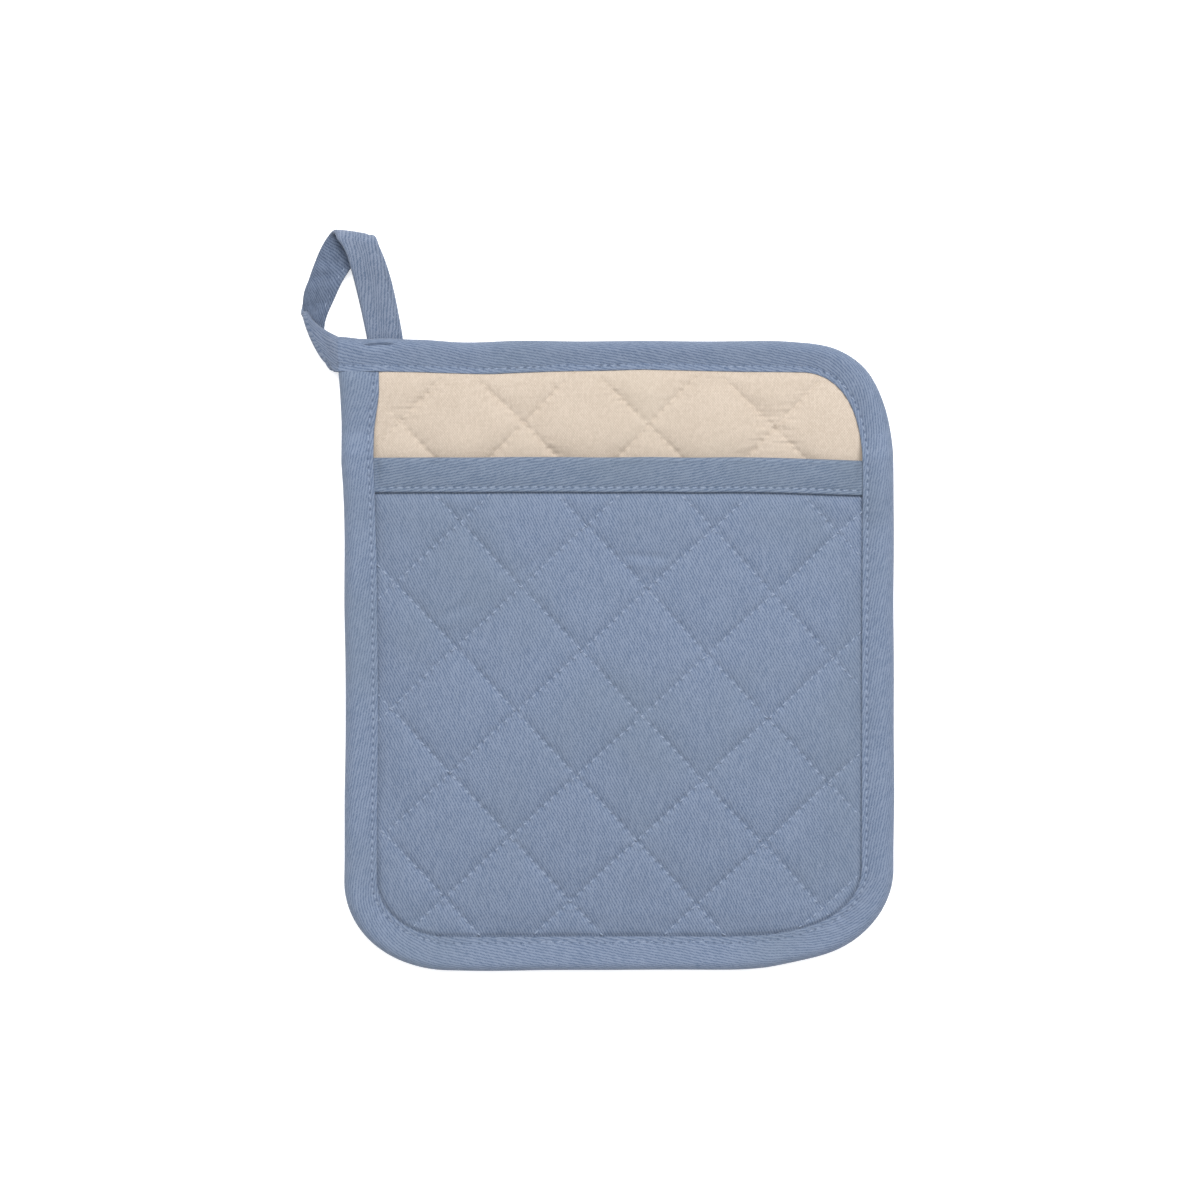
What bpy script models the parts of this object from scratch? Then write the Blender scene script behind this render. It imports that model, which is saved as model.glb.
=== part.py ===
"""A quilted cloth pot holder with a hand pocket and a hanging loop, lying on its back.

The body's middle is over the origin, the loop points towards +Y and the floor is at z = 0.
Two quilted pads lie one on the other, the front one open at the top as a pocket. A folded
bias strip binds the rim, a second one binds the pocket's mouth, and the rim binding's tail
is turned round into the loop.
"""

import math
from collections import namedtuple

import bmesh
import bpy
from mathutils import Vector

MM = 0.001

# ---------------------------------------------------------------- the body and its rim
HALF_WIDTH = 200.0 / 2 * MM
HALF_LENGTH = 228.7 / 2 * MM

Corner = namedtuple("Corner", "side_x side_y radius_x radius_y")
CORNERS = (
    Corner(-1, 1, 0.0, 0.0),
    Corner(-1, -1, 38.0 * MM, 33.0 * MM),
    Corner(1, -1, 49.0 * MM, 37.0 * MM),
    Corner(1, 1, 33.0 * MM, 41.5 * MM),
)
CORNER_STEPS = 8

CLEAR = 0.3 * MM
BINDING_WALL = 1.0 * MM
BINDING_LAP = 11.4 * MM
PAD_INSET = BINDING_WALL + 2 * CLEAR
# The binding's bend round the rim: how far in it starts, and how far its outermost part reaches.
BINDING_BEND_IN = 2.2 * MM
BINDING_BEND_OUT = 0.6 * MM
# Steps along each straight run of the binding.
LEFT_STEPS = 34
BOTTOM_STEPS = 6
RIGHT_STEPS = 20
TOP_STEPS = 32
LEAST_STEP = 1.5 * MM

# ---------------------------------------------------------------- the pads
# How far a pad has swollen out at each distance in from the strip that grips its edge.
Swell = namedtuple("Swell", "past_strip share")
SWELLS = (
    Swell(0.8 * MM, 0.0),
    Swell(3.3 * MM, 0.6),
    Swell(8.3 * MM, 1.0),
)

# A quilt is two families of straight seams that cross at a point.
Seams = namedtuple("Seams", "angle spacing")
Quilt = namedtuple("Quilt", "cross_x cross_y families")
POCKET_QUILT = Quilt(10.2 * MM, 23.8 * MM, (Seams(-46.8, 32.5 * MM), Seams(42.9, 32.0 * MM)))
BACK_QUILT = Quilt(11.1 * MM, 83.5 * MM, (Seams(-44.2, 31.2 * MM), Seams(46.1, 33.2 * MM)))
SHOULDER = 3.0 * MM
FLANK = 10.0 * MM
# A diamond's swell rises fast from its seams and is nearly level in the middle.
SWELL_LEVELNESS = 3
SWELL_SHARPNESS = 0.8
# Points of a pad's plan this near a cut line lie on it, and shorter edges are closed up.
ON_CUT = 0.3 * MM
SHORTEST_EDGE = 0.4 * MM
EDGE_TOLERANCE = 1e-6 * MM

BACK_EDGE_BOTTOM = BINDING_WALL + CLEAR
BACK_EDGE_TOP = 3.2 * MM
BACK_CROWN = 1.6 * MM
BACK_SEAM_HOLLOW = 1.2 * MM

POCKET_EDGE_MIDDLE = 4.4 * MM
POCKET_EDGE_HALF = 0.9 * MM
POCKET_CROWN = 1.4 * MM
LINING_CROWN = 0.7 * MM
POCKET_ON_BACK = 2.6 * MM
POCKET_GAPE = 4.8 * MM
GAPE_REACH = 70.0 * MM
GAPE_LEVELNESS = 3

# ---------------------------------------------------------------- the pocket's mouth
MOUTH = 71.8 * MM
BAND_LAP = 12.7 * MM
BAND_WALL = 0.8 * MM
BAND_FOLD_WALL = 1.0 * MM
BAND_CLEAR = 0.42 * MM
BAND_END_INSET = 7.0 * MM
BANDED_HALF = 0.5 * MM
BANDED_RISE = 0.8 * MM
BAND_HALF = BANDED_HALF + BAND_CLEAR + BAND_WALL
BAND_BEND_IN = 1.6 * MM
BAND_BEND_OUT = 0.3 * MM
BAND_STEPS = 26
MOUTH_EASE = 24.0 * MM
MOUTH_CREST = 1.2 * MM
MOUTH_FALL = 9.0 * MM
# The mouth droops towards its right end, between these shares of the body's half width.
MOUTH_DROOP = 1.3 * MM
DROOP_FROM = 0.4
DROOP_TO = 0.95

# ---------------------------------------------------------------- the loop
TAPE_THICKNESS = 1.9 * MM
TAPE_EDGE_THICKNESS = 0.8 * MM
TAPE_EDGE = 0.8 * MM
FOLD_STEPS = 6

# One row for each section of the tape, from the binding's end round to the tucked-in end:
# its two edges seen from above, and the height of its middle, in millimetres.
Section = namedtuple("Section", "outer_x outer_y inner_x inner_y height")
# A fold's row gives the line it turns on, its heights coming in and going out, and the side of
# the line that the tape lies on: 1 for the left, seen from the outer point, and -1 for the right.
Fold = namedtuple("Fold", "outer_x outer_y inner_x inner_y height_in height_out side")
TAPE = (
    Section(-100.7, 114.6, -100.7, 102.8, 5.2),
    Section(-107.3, 118.6, -101.1, 102.8, 4.4),
    Fold(-115.6, 124.7, -103.8, 101.2, 3.6, 1.2, 1),
    Section(-114.6, 128.2, -106.0, 110.4, 1.1),
    Section(-114.2, 130.7, -106.8, 118.4, 1.1),
    Section(-113.6, 133.6, -105.3, 124.9, 1.1),
    Section(-112.2, 138.0, -102.0, 132.2, 1.1),
    Section(-110.2, 143.1, -98.4, 139.5, 1.1),
    Section(-107.6, 147.6, -94.2, 143.9, 1.2),
    Fold(-104.7, 154.8, -86.3, 150.7, 1.3, 7.3, -1),
    Section(-100.3, 148.0, -85.4, 145.6, 7.2),
    Section(-97.9, 141.2, -84.2, 141.2, 6.5),
    Section(-95.9, 133.6, -82.2, 134.0, 4.9),
    Section(-93.7, 124.9, -80.7, 125.3, 2.9),
    Section(-91.9, 116.4, -79.0, 116.6, 1.2),
    Section(-90.4, 110.4, -77.9, 111.1, 0.98),
    Section(-88.9, 103.1, -76.6, 103.8, 0.98),
)

# The rim is lifted where the loop's end runs under it.
LIFT_X = -84.0 * MM
LIFT_Y = 109.0 * MM
LIFT_HEIGHT = 2.25 * MM
LIFT_FLAT = 10.5 * MM
LIFT_FADE = 30.0 * MM

# The left side bows out a little below its top corner.
BOW_DEPTH = 1.4 * MM
BOW_Y = 87.0 * MM
BOW_REACH = 22.0 * MM

# ---------------------------------------------------------------- the cloth's look
BLUE = (0.226, 0.300, 0.434)
NATURAL = (0.745, 0.644, 0.527)
CLOTH_ROUGHNESS = 0.9
SHARP_ANGLE = 50


# ---------------------------------------------------------------- small helpers
def smooth(share):
    """Ease from 0 to 1."""
    share = min(1.0, max(0.0, share))
    return share * share * (3 - 2 * share)


def between(value, rows):
    """Read a table of (place, amount) rows, straight between them and level past its ends."""
    if value <= rows[0][0]:
        return rows[0][1]
    for low, high in zip(rows, rows[1:]):
        if value <= high[0]:
            share = (value - low[0]) / (high[0] - low[0])
            return low[1] + share * (high[1] - low[1])
    return rows[-1][1]


def settle(x, y, z):
    """Move a point of the tidy shape to where the used, hand-sewn one has it."""
    bow = abs(y - BOW_Y) / BOW_REACH
    if x < 0 and bow < 1:
        x -= BOW_DEPTH * math.cos(bow * math.pi / 2) ** 2 * smooth(-x / HALF_WIDTH)
    near_mouth = 1 - smooth(abs(y - MOUTH + BAND_LAP / 2) / MOUTH_EASE)
    droop = smooth((x / HALF_WIDTH - DROOP_FROM) / (DROOP_TO - DROOP_FROM))
    y -= MOUTH_DROOP * droop * near_mouth
    away = math.hypot(x - LIFT_X, y - LIFT_Y) - LIFT_FLAT
    z += LIFT_HEIGHT * (1 - smooth(away / LIFT_FADE))
    return Vector((x, y, z))


def finish(name, points, faces, colour):
    """Make a closed mesh into a named object with its own material."""
    bm = bmesh.new()
    verts = [bm.verts.new(point) for point in points]
    for face in faces:
        bm.faces.new([verts[index] for index in face])
    bmesh.ops.recalc_face_normals(bm, faces=bm.faces)
    bmesh.ops.triangulate(bm, faces=bm.faces)
    mesh = bpy.data.meshes.new(name)
    bm.to_mesh(mesh)
    bm.free()
    mesh.shade_smooth()
    mesh.set_sharp_from_angle(angle=math.radians(SHARP_ANGLE))
    material = bpy.data.materials.new(name + "_cloth")
    material.use_nodes = True
    shader = material.node_tree.nodes["Principled BSDF"]
    shader.inputs["Base Color"].default_value = (*colour, 1.0)
    shader.inputs["Roughness"].default_value = CLOTH_ROUGHNESS
    shader.inputs["Metallic"].default_value = 0.0
    mesh.materials.append(material)
    piece = bpy.data.objects.new(name, mesh)
    bpy.context.scene.collection.objects.link(piece)
    return piece


def sweep(name, rings, colour):
    """Skin a row of equal rings of points and close both ends."""
    size = len(rings[0])
    points = [point for ring in rings for point in ring]
    faces = [list(range(size)), list(range(len(points) - size, len(points)))]
    for ring in range(len(rings) - 1):
        for step in range(size):
            low = ring * size + step
            low_next = ring * size + (step + 1) % size
            faces.append([low, low_next, low_next + size, low + size])
    return finish(name, points, faces, colour)


# ---------------------------------------------------------------- the rim's outline
# A station is a place on the rim, which rim_point can follow inwards.
Station = namedtuple("Station", "x y out_x out_y radius_x radius_y")


def rim_point(station, inset):
    """The station's point at a distance in from the outer edge."""
    x = station.x + station.out_x * (station.radius_x - inset)
    y = station.y + station.out_y * (station.radius_y - inset)
    return x, y


def corner_stations(corner):
    """The stations round a corner, in the anticlockwise direction."""
    if corner.radius_x == 0:
        return [Station(corner.side_x * HALF_WIDTH, corner.side_y * HALF_LENGTH,
                        corner.side_x, corner.side_y, 0.0, 0.0)]
    centre_x = corner.side_x * (HALF_WIDTH - corner.radius_x)
    centre_y = corner.side_y * (HALF_LENGTH - corner.radius_y)
    middle = math.atan2(corner.side_y, corner.side_x)
    stations = []
    for step in range(CORNER_STEPS + 1):
        angle = middle + (step / CORNER_STEPS - 0.5) * math.pi / 2
        stations.append(Station(centre_x, centre_y, math.cos(angle), math.sin(angle),
                                corner.radius_x, corner.radius_y))
    return stations


def edge_distance(x, y):
    """How far a point of the body lies in from the outer edge.

    Round a corner the rim's rings are ellipses, and halving steps find the one through the point.
    """
    corner = next(c for c in CORNERS if c.side_x * x >= 0 and c.side_y * y >= 0)
    from_side = HALF_WIDTH - abs(x)
    from_end = HALF_LENGTH - abs(y)
    past_x = corner.radius_x - from_side
    past_y = corner.radius_y - from_end
    if past_x <= 0 or past_y <= 0:
        return min(from_side, from_end)
    low = -corner.radius_x
    high = min(corner.radius_x, corner.radius_y)
    while high - low > EDGE_TOLERANCE:
        inset = (low + high) / 2
        reach = math.hypot(past_x / (corner.radius_x - inset), past_y / (corner.radius_y - inset))
        if reach < 1:
            low = inset
        else:
            high = inset
    return low


# ---------------------------------------------------------------- heights
def quilt_offsets(quilt, x, y):
    """How far a point lies from the nearest seam of each family, with the seams' spacing."""
    for seams in quilt.families:
        angle = math.radians(seams.angle)
        across = (y - quilt.cross_y) * math.cos(angle) - (x - quilt.cross_x) * math.sin(angle)
        past = across % seams.spacing
        yield min(past, seams.spacing - past), seams.spacing


def pillow(quilt, x, y):
    """The filling's swell between the seams: 0 on a seam and 1 in a diamond's middle."""
    share = 1.0
    for offset, spacing in quilt_offsets(quilt, x, y):
        share *= (1 - (1 - offset / (spacing / 2)) ** SWELL_LEVELNESS) ** SWELL_SHARPNESS
    return share


def swell_at_rim(x, y):
    return between(edge_distance(x, y) - BINDING_LAP, SWELLS)


def swell_at_mouth(y):
    return between(MOUTH - y - BAND_LAP, SWELLS)


def banded(y):
    """1 inside the mouth's band and 0 well below it."""
    return between(MOUTH - y, ((BAND_LAP + SWELLS[0].past_strip, 1.0), (MOUTH_EASE, 0.0)))


def back_top(x, y):
    return BACK_EDGE_TOP + BACK_CROWN * swell_at_rim(x, y) * pillow(BACK_QUILT, x, y)


def back_bottom(x, y):
    """Level on the floor, but for a narrow hollow along each seam and the raised rim."""
    nearest = min(offset for offset, _ in quilt_offsets(BACK_QUILT, x, y))
    hollow = BACK_SEAM_HOLLOW * max(0.0, 1 - nearest / SHOULDER)
    swell = swell_at_rim(x, y)
    return BACK_EDGE_BOTTOM * (1 - swell) + hollow * swell


def pocket_middle(x, y):
    """The pocket pad's middle layer, which arches up over the hand space."""
    swell = swell_at_rim(x, y)
    from_side = min(1.0, max(0.0, (HALF_WIDTH - abs(x) - BINDING_LAP) / GAPE_REACH))
    from_end = min(1.0, max(0.0, (HALF_LENGTH + y - BINDING_LAP) / GAPE_REACH))
    gape = POCKET_GAPE * (1 - (1 - from_side) ** GAPE_LEVELNESS)
    gape *= 1 - (1 - from_end) ** GAPE_LEVELNESS
    return POCKET_EDGE_MIDDLE + BANDED_RISE * banded(y) + (POCKET_ON_BACK + gape) * swell


def pocket_half(x, y, crown):
    """Half the pocket pad's thickness, with the crown of one of its faces."""
    half = POCKET_EDGE_HALF + (BANDED_HALF - POCKET_EDGE_HALF) * banded(y)
    swell = swell_at_rim(x, y) * swell_at_mouth(y)
    return half + crown * swell * pillow(POCKET_QUILT, x, y)


def pocket_top(x, y):
    return pocket_middle(x, y) + pocket_half(x, y, POCKET_CROWN)


def pocket_bottom(x, y):
    return pocket_middle(x, y) - pocket_half(x, y, LINING_CROWN)


def stack_top(y):
    """The top of what the rim binding grips at a place along the sides."""
    pocket = POCKET_EDGE_MIDDLE + POCKET_EDGE_HALF
    band = POCKET_EDGE_MIDDLE + BANDED_RISE + BAND_HALF
    return between(y - MOUTH, (
        (-MOUTH_EASE, pocket),
        (-BAND_LAP - SWELLS[0].past_strip, band),
        (MOUTH_CREST, band),
        (MOUTH_FALL, BACK_EDGE_TOP),
    ))


# ---------------------------------------------------------------- the pieces
def cut(bm, point, normal, drop=False):
    """Cut the flat plan along a line, and drop what lies in front of it if asked."""
    bmesh.ops.bisect_plane(bm, geom=bm.verts[:] + bm.edges[:] + bm.faces[:], dist=ON_CUT,
                           plane_co=point, plane_no=normal, clear_outer=drop)


def quilted_plan(quilt, mouth=None):
    """A pad's flat outline, cut along its seams, their shoulders and the rim's steps."""
    bm = bmesh.new()
    stations = [station for corner in CORNERS for station in corner_stations(corner)]
    insets = [PAD_INSET] + [BINDING_LAP + row.past_strip for row in SWELLS]
    rings = []
    for inset in insets:
        rings.append([bm.verts.new((*rim_point(station, inset), 0.0)) for station in stations])
    for outer, inner in zip(rings, rings[1:]):
        for index in range(len(stations)):
            after = (index + 1) % len(stations)
            bm.faces.new((outer[index], outer[after], inner[after], inner[index]))
    bm.faces.new(rings[-1])
    if mouth is not None:
        cut(bm, (0, mouth - BAND_FOLD_WALL - CLEAR, 0), (0, 1, 0), drop=True)
        for row in SWELLS:
            cut(bm, (0, mouth - BAND_LAP - row.past_strip, 0), (0, 1, 0))
        cut(bm, (0, mouth - MOUTH_EASE, 0), (0, 1, 0))
    # Seams out to the body's length either side of the crossing point cover every corner.
    reach = 2 * HALF_LENGTH
    for seams in quilt.families:
        angle = math.radians(seams.angle)
        normal = Vector((-math.sin(angle), math.cos(angle), 0))
        count = math.ceil(reach / seams.spacing)
        for seam in range(-count, count + 1):
            for offset in (0, SHOULDER, FLANK, -FLANK, -SHOULDER):
                across = seam * seams.spacing + offset
                cut(bm, Vector((quilt.cross_x, quilt.cross_y, 0)) + across * normal, normal)
    bmesh.ops.remove_doubles(bm, verts=bm.verts, dist=SHORTEST_EDGE)
    bmesh.ops.triangulate(bm, faces=bm.faces)
    return bm


def quilted_pad(name, plan, top, bottom, colour):
    """Raise a flat plan into a closed pad between two height functions."""
    plan.verts.ensure_lookup_table()
    count = len(plan.verts)
    places = [(vert.co.x, vert.co.y) for vert in plan.verts]
    points = [settle(x, y, top(x, y)) for x, y in places]
    points += [settle(x, y, bottom(x, y)) for x, y in places]
    faces = []
    for face in plan.faces:
        corners = [vert.index for vert in face.verts]
        faces.append(corners)
        faces.append([count + index for index in reversed(corners)])
    for edge in plan.edges:
        if edge.is_boundary:
            first, second = (vert.index for vert in edge.verts)
            faces.append([first, second, count + second, count + first])
    plan.free()
    return finish(name, points, faces, colour)


def side_stations(start, stop, out, steps, extra=()):
    """Stations along a straight side, at even steps and at some places more."""
    places = {start + (stop - start) * step / steps for step in range(steps + 1)}
    places |= {place for place in extra if min(start, stop) < place < max(start, stop)}
    stations = []
    for place in sorted(places, reverse=stop < start):
        if stations and abs(place - last) < LEAST_STEP and place not in extra:
            continue
        last = place
        if out[0]:
            stations.append(Station(out[0] * HALF_WIDTH, place, out[0], 0, 0.0, 0.0))
        else:
            stations.append(Station(place, out[1] * HALF_LENGTH, 0, out[1], 0.0, 0.0))
    return stations


def binding_stations():
    """From the top left corner down the left side, round, and back along the top."""
    square, bottom_left, bottom_right, top_right = CORNERS
    mouth_places = (MOUTH - MOUTH_EASE, MOUTH - BAND_LAP - SWELLS[0].past_strip,
                    MOUTH + MOUTH_CREST, MOUTH + MOUTH_FALL)
    start = HALF_LENGTH - BINDING_LAP - CLEAR
    path = side_stations(start, bottom_left.radius_y - HALF_LENGTH, (-1, 0), LEFT_STEPS,
                         mouth_places)[:-1]
    path += corner_stations(bottom_left)
    path += side_stations(bottom_left.radius_x - HALF_WIDTH,
                          HALF_WIDTH - bottom_right.radius_x, (0, -1), BOTTOM_STEPS)[1:-1]
    path += corner_stations(bottom_right)
    path += side_stations(bottom_right.radius_y - HALF_LENGTH,
                          HALF_LENGTH - top_right.radius_y, (1, 0), RIGHT_STEPS, mouth_places)[1:-1]
    path += corner_stations(top_right)
    path += side_stations(HALF_WIDTH - top_right.radius_x, -HALF_WIDTH, (0, 1), TOP_STEPS)[1:]
    return path


def edge_binding():
    """A strip folded over the rim: a rounded U that holds the pads' edges."""
    bend_in = BINDING_BEND_IN
    bend_out = BINDING_BEND_OUT
    inner = BINDING_WALL + CLEAR
    rings = []
    for station in binding_stations():
        _, y = rim_point(station, BINDING_LAP / 2)
        height = stack_top(y) + CLEAR + BINDING_WALL
        profile = (
            (BINDING_LAP, 0.0), (bend_in, 0.0), (bend_out, bend_out), (0.0, height / 2),
            (bend_out, height - bend_out), (bend_in, height), (BINDING_LAP, height),
            (BINDING_LAP, height - BINDING_WALL), (inner, height - BINDING_WALL),
            (inner, BINDING_WALL), (BINDING_LAP, BINDING_WALL),
        )
        rings.append([settle(*rim_point(station, inset), z) for inset, z in profile])
    sweep("edge_binding", rings, BLUE)


def pocket_band():
    """A strip folded over the pocket's mouth, its ends caught under the rim binding."""
    end = HALF_WIDTH - BAND_END_INSET
    places = {round(-end + 2 * end * step / BAND_STEPS, 5) for step in range(BAND_STEPS + 1)}
    for row in SWELLS:
        place = HALF_WIDTH - BINDING_LAP - row.past_strip
        places |= {place, -place}
    inner = BAND_HALF - BAND_WALL
    profile = (
        (BAND_LAP, -BAND_HALF), (BAND_BEND_IN, -BAND_HALF), (BAND_BEND_OUT, -inner), (0.0, 0.0),
        (BAND_BEND_OUT, inner), (BAND_BEND_IN, BAND_HALF), (BAND_LAP, BAND_HALF),
        (BAND_LAP, inner), (BAND_FOLD_WALL, inner), (BAND_FOLD_WALL, -inner), (BAND_LAP, -inner),
    )
    rings = []
    for x in sorted(places):
        middle = pocket_middle(x, MOUTH)
        rings.append([settle(x, MOUTH - below, middle + z) for below, z in profile])
    sweep("pocket_band", rings, BLUE)


def fold_sections(fold):
    """The sections round a fold, as (outer edge, inner edge) pairs of points."""
    outer = Vector((fold.outer_x, fold.outer_y, 0)) * MM
    inner = Vector((fold.inner_x, fold.inner_y, 0)) * MM
    along = (inner - outer).normalized()
    to_tape = Vector((-along.y, along.x, 0)) * fold.side
    radius = abs(fold.height_out - fold.height_in) / 2 * MM
    middle = (fold.height_out + fold.height_in) / 2 * MM
    turn = 1 if fold.height_in > fold.height_out else -1
    for step in range(FOLD_STEPS + 1):
        angle = math.pi * step / FOLD_STEPS
        back = to_tape * (TAPE_THICKNESS / 2 + radius * (1 - math.sin(angle)))
        up = Vector((0, 0, middle + turn * radius * math.cos(angle)))
        yield outer + back + up, inner + back + up


def hanging_loop():
    """The binding's tail, a flat tape folded under, rolled over and tucked in again."""
    edges = []
    for row in TAPE:
        if isinstance(row, Fold):
            edges += fold_sections(row)
        else:
            up = Vector((0, 0, row.height * MM))
            edges.append((Vector((row.outer_x, row.outer_y, 0)) * MM + up,
                          Vector((row.inner_x, row.inner_y, 0)) * MM + up))
    thick = TAPE_THICKNESS / 2
    thin = TAPE_EDGE_THICKNESS / 2
    rings = []
    for index, (outer, inner) in enumerate(edges):
        before = sum(edges[max(0, index - 1)], Vector())
        after = sum(edges[min(len(edges) - 1, index + 1)], Vector())
        out = (after - before).cross(inner - outer).normalized()
        soft = TAPE_EDGE / (inner - outer).length
        profile = ((0, -thin), (0, thin), (soft, thick), (0.5, thick), (1 - soft, thick),
                   (1, thin), (1, -thin), (1 - soft, -thick), (0.5, -thick), (soft, -thick))
        rings.append([outer.lerp(inner, share) + out * z for share, z in profile])
    sweep("hanging_loop", rings, BLUE)


for old in list(bpy.data.objects):
    bpy.data.objects.remove(old, do_unlink=True)

quilted_pad("back_panel", quilted_plan(BACK_QUILT), back_top, back_bottom, NATURAL)
quilted_pad("pocket_panel", quilted_plan(POCKET_QUILT, MOUTH), pocket_top, pocket_bottom, BLUE)
pocket_band()
edge_binding()
hanging_loop()
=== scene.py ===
import math
from collections import namedtuple
from functools import partial

import bpy
import numpy as np
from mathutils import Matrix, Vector


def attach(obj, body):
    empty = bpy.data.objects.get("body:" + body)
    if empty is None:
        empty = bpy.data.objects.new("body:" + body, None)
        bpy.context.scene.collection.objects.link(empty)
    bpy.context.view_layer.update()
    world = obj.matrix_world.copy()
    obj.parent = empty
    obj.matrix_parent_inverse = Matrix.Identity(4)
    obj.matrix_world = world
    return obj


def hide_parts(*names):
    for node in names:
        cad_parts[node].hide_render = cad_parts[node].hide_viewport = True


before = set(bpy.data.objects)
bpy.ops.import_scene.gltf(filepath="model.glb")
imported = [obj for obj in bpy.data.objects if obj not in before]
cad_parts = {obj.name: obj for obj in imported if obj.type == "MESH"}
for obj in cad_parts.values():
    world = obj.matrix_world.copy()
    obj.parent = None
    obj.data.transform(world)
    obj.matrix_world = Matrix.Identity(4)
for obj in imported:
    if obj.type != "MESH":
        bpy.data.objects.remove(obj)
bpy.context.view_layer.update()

# ================================================================ back panel
# The pot holder's back: two cloths with wadding between, machine-quilted in diamonds.
# Natural plain-woven cotton faces the hand and shows above the pocket; blue twill is outside.
# Sizes are in millimetres, and cloth_mesh() and sew() turn them to metres.
HALF_WIDTH = 100.0
HALF_LENGTH = 114.35

Corner = namedtuple("Corner", "side_x side_y radius_x radius_y")
CORNERS = (
    Corner(-1, 1, 0.0, 0.0),
    Corner(-1, -1, 38.0, 33.0),
    Corner(1, -1, 49.0, 37.0),
    Corner(1, 1, 33.0, 41.5),
)

# The width of the binding that shows on the front, by the direction seen from the middle.
Lap = namedtuple("Lap", "direction width")
LAPS = (
    Lap(-180, 12.3), Lap(-100, 12.3), Lap(-45, 12.0), Lap(0, 11.9), Lap(40, 11.6),
    Lap(66, 11.4), Lap(75, 11.0), Lap(85, 10.6), Lap(95, 11.0), Lap(105, 11.4),
    Lap(114, 12.0), Lap(125, 11.7), Lap(131, 11.4), Lap(133, 11.6), Lap(140, 11.3),
    Lap(146, 11.6), Lap(158, 12.2), Lap(180, 12.3),
)
PAD_INSET = 1.6

Swell = namedtuple("Swell", "past_strip share")
SWELLS = (Swell(0.5, 0.0), Swell(3.3, 0.6), Swell(8.3, 1.0))

Seams = namedtuple("Seams", "angle spacing")
Quilt = namedtuple("Quilt", "cross_x cross_y families")
BACK_QUILT = Quilt(11.1, 83.5, (Seams(-44.2, 31.2), Seams(46.1, 33.2)))
QUILT_STITCH = 3.4
PILLOW_LEVELNESS, PILLOW_SHARPNESS = 3, 0.8
# What the thread does to the cloth beside a seam, each with how far from the seam it reaches.
SEAM_GROOVE, GROOVE_REACH = 0.18, 1.6
NEEDLE_DIP, NEEDLE_REACH = 0.44, 0.85
PUCKERS_FROM, PUCKERS_TO = 0.6, 2.8
PUFF_HEIGHT, PUFF_OFF, PUFF_REACH = 0.24, 0.9, 0.75
# The cloth dives under the binding's loose edge, least at the top and in full at the bottom.
EDGE_CREVICE, CREVICE_REACH = 0.95, 0.85
LEAST_CREVICE, CREVICE_GROWS_BELOW, CREVICE_GROWS_OVER = 0.35, -58.0, 28.0

# Random waves in the cloth: their height, their size both ways, and their seed.
Ripple = namedtuple("Ripple", "height size_x size_y seed")
SEAM_WANDER = Ripple(0.35, 21, 21, 60)
PUCKERS = Ripple(0.2, 1.9, 5.0, 0)
NEEDLE_PULL = Ripple(0.6, 4.5, 50, 6)
SMALL_WAVES = Ripple(0.16, 13, 9, 4)
BROAD_WAVES = Ripple(0.28, 31, 27, 5)
CREASES = Ripple(0.36, 6.0, 0.95, 31)
CREASED_PATCHES = Ripple(1.0, 15, 11, 32)

# The two pads part towards the middle of the pocket, where the hand goes.
PARTING, PARTING_REACH, SIDE_BEND, END_BEND = 7.0, 78.0, 2.3, 1.6
PRESSED_FLAT = 3.0

BACK_EDGE_BOTTOM = 1.3
BACK_EDGE_TOP = 3.2
BACK_CROWN = 1.6
BACK_SEAM_HOLLOW = 1.2
HOLLOW_REACH = 3.0

MOUTH = 71.8
BAND_LAP = 12.7
MOUTH_EASE = 24.0
MOUTH_DROOP, DROOP_FROM, DROOP_OVER = 1.3, 0.4, 0.55
# How far out the left side strays at each height, and where the rim is pushed in or out a little.
LEFT_STRAYS_FROM, LEFT_STRAYS_OVER = 84.0, 16.0
Stray = namedtuple("Stray", "y out")
LEFT_STRAYS = (
    Stray(55, -0.2), Stray(62, 0.0), Stray(70, 0.6), Stray(85, 0.7), Stray(96, 1.2), Stray(102.5, 1.7),
)
Push = namedtuple("Push", "x y inwards reach")
RIM_PUSHES = (
    Push(64, -111, 1.8, 15), Push(-100, -20, 0.6, 45), Push(70, 113, 0.9, 8), Push(89, 103, -0.7, 9),
    Push(97, 82, 0.5, 10), Push(-54, 114, 0.6, 13), Push(-71, 114, -0.5, 8), Push(-84.5, 114, -1.0, 7),
    Push(20, -114, 0.35, 40),
)
LIFT_X, LIFT_Y, LIFT_HEIGHT, LIFT_FLAT, LIFT_FADE = -84.0, 109.0, 2.25, 10.5, 30.0


def ease(share):
    """Ease from 0 to 1."""
    share = np.clip(share, 0.0, 1.0)
    return share * share * (3 - 2 * share)


def bump(off, reach):
    """1 on a line and fading out to both sides of it."""
    return np.exp(-(off / reach) ** 2)


def ripple(waves, x, y, other=0):
    """The height of random waves at each point, the same each time. Another number gives others."""
    size = 97
    grid = np.random.default_rng(waves.seed + other).uniform(-1, 1, (size, size))
    across, along = x / waves.size_x + 41.3, y / waves.size_y + 37.7
    column, row = np.floor(across).astype(int), np.floor(along).astype(int)
    share_x, share_y = ease(across - column), ease(along - row)
    left, right, near, far = column % size, (column + 1) % size, row % size, (row + 1) % size
    low = grid[near, left] * (1 - share_x) + grid[near, right] * share_x
    high = grid[far, left] * (1 - share_x) + grid[far, right] * share_x
    return waves.height * (low * (1 - share_y) + high * share_y)


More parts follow.
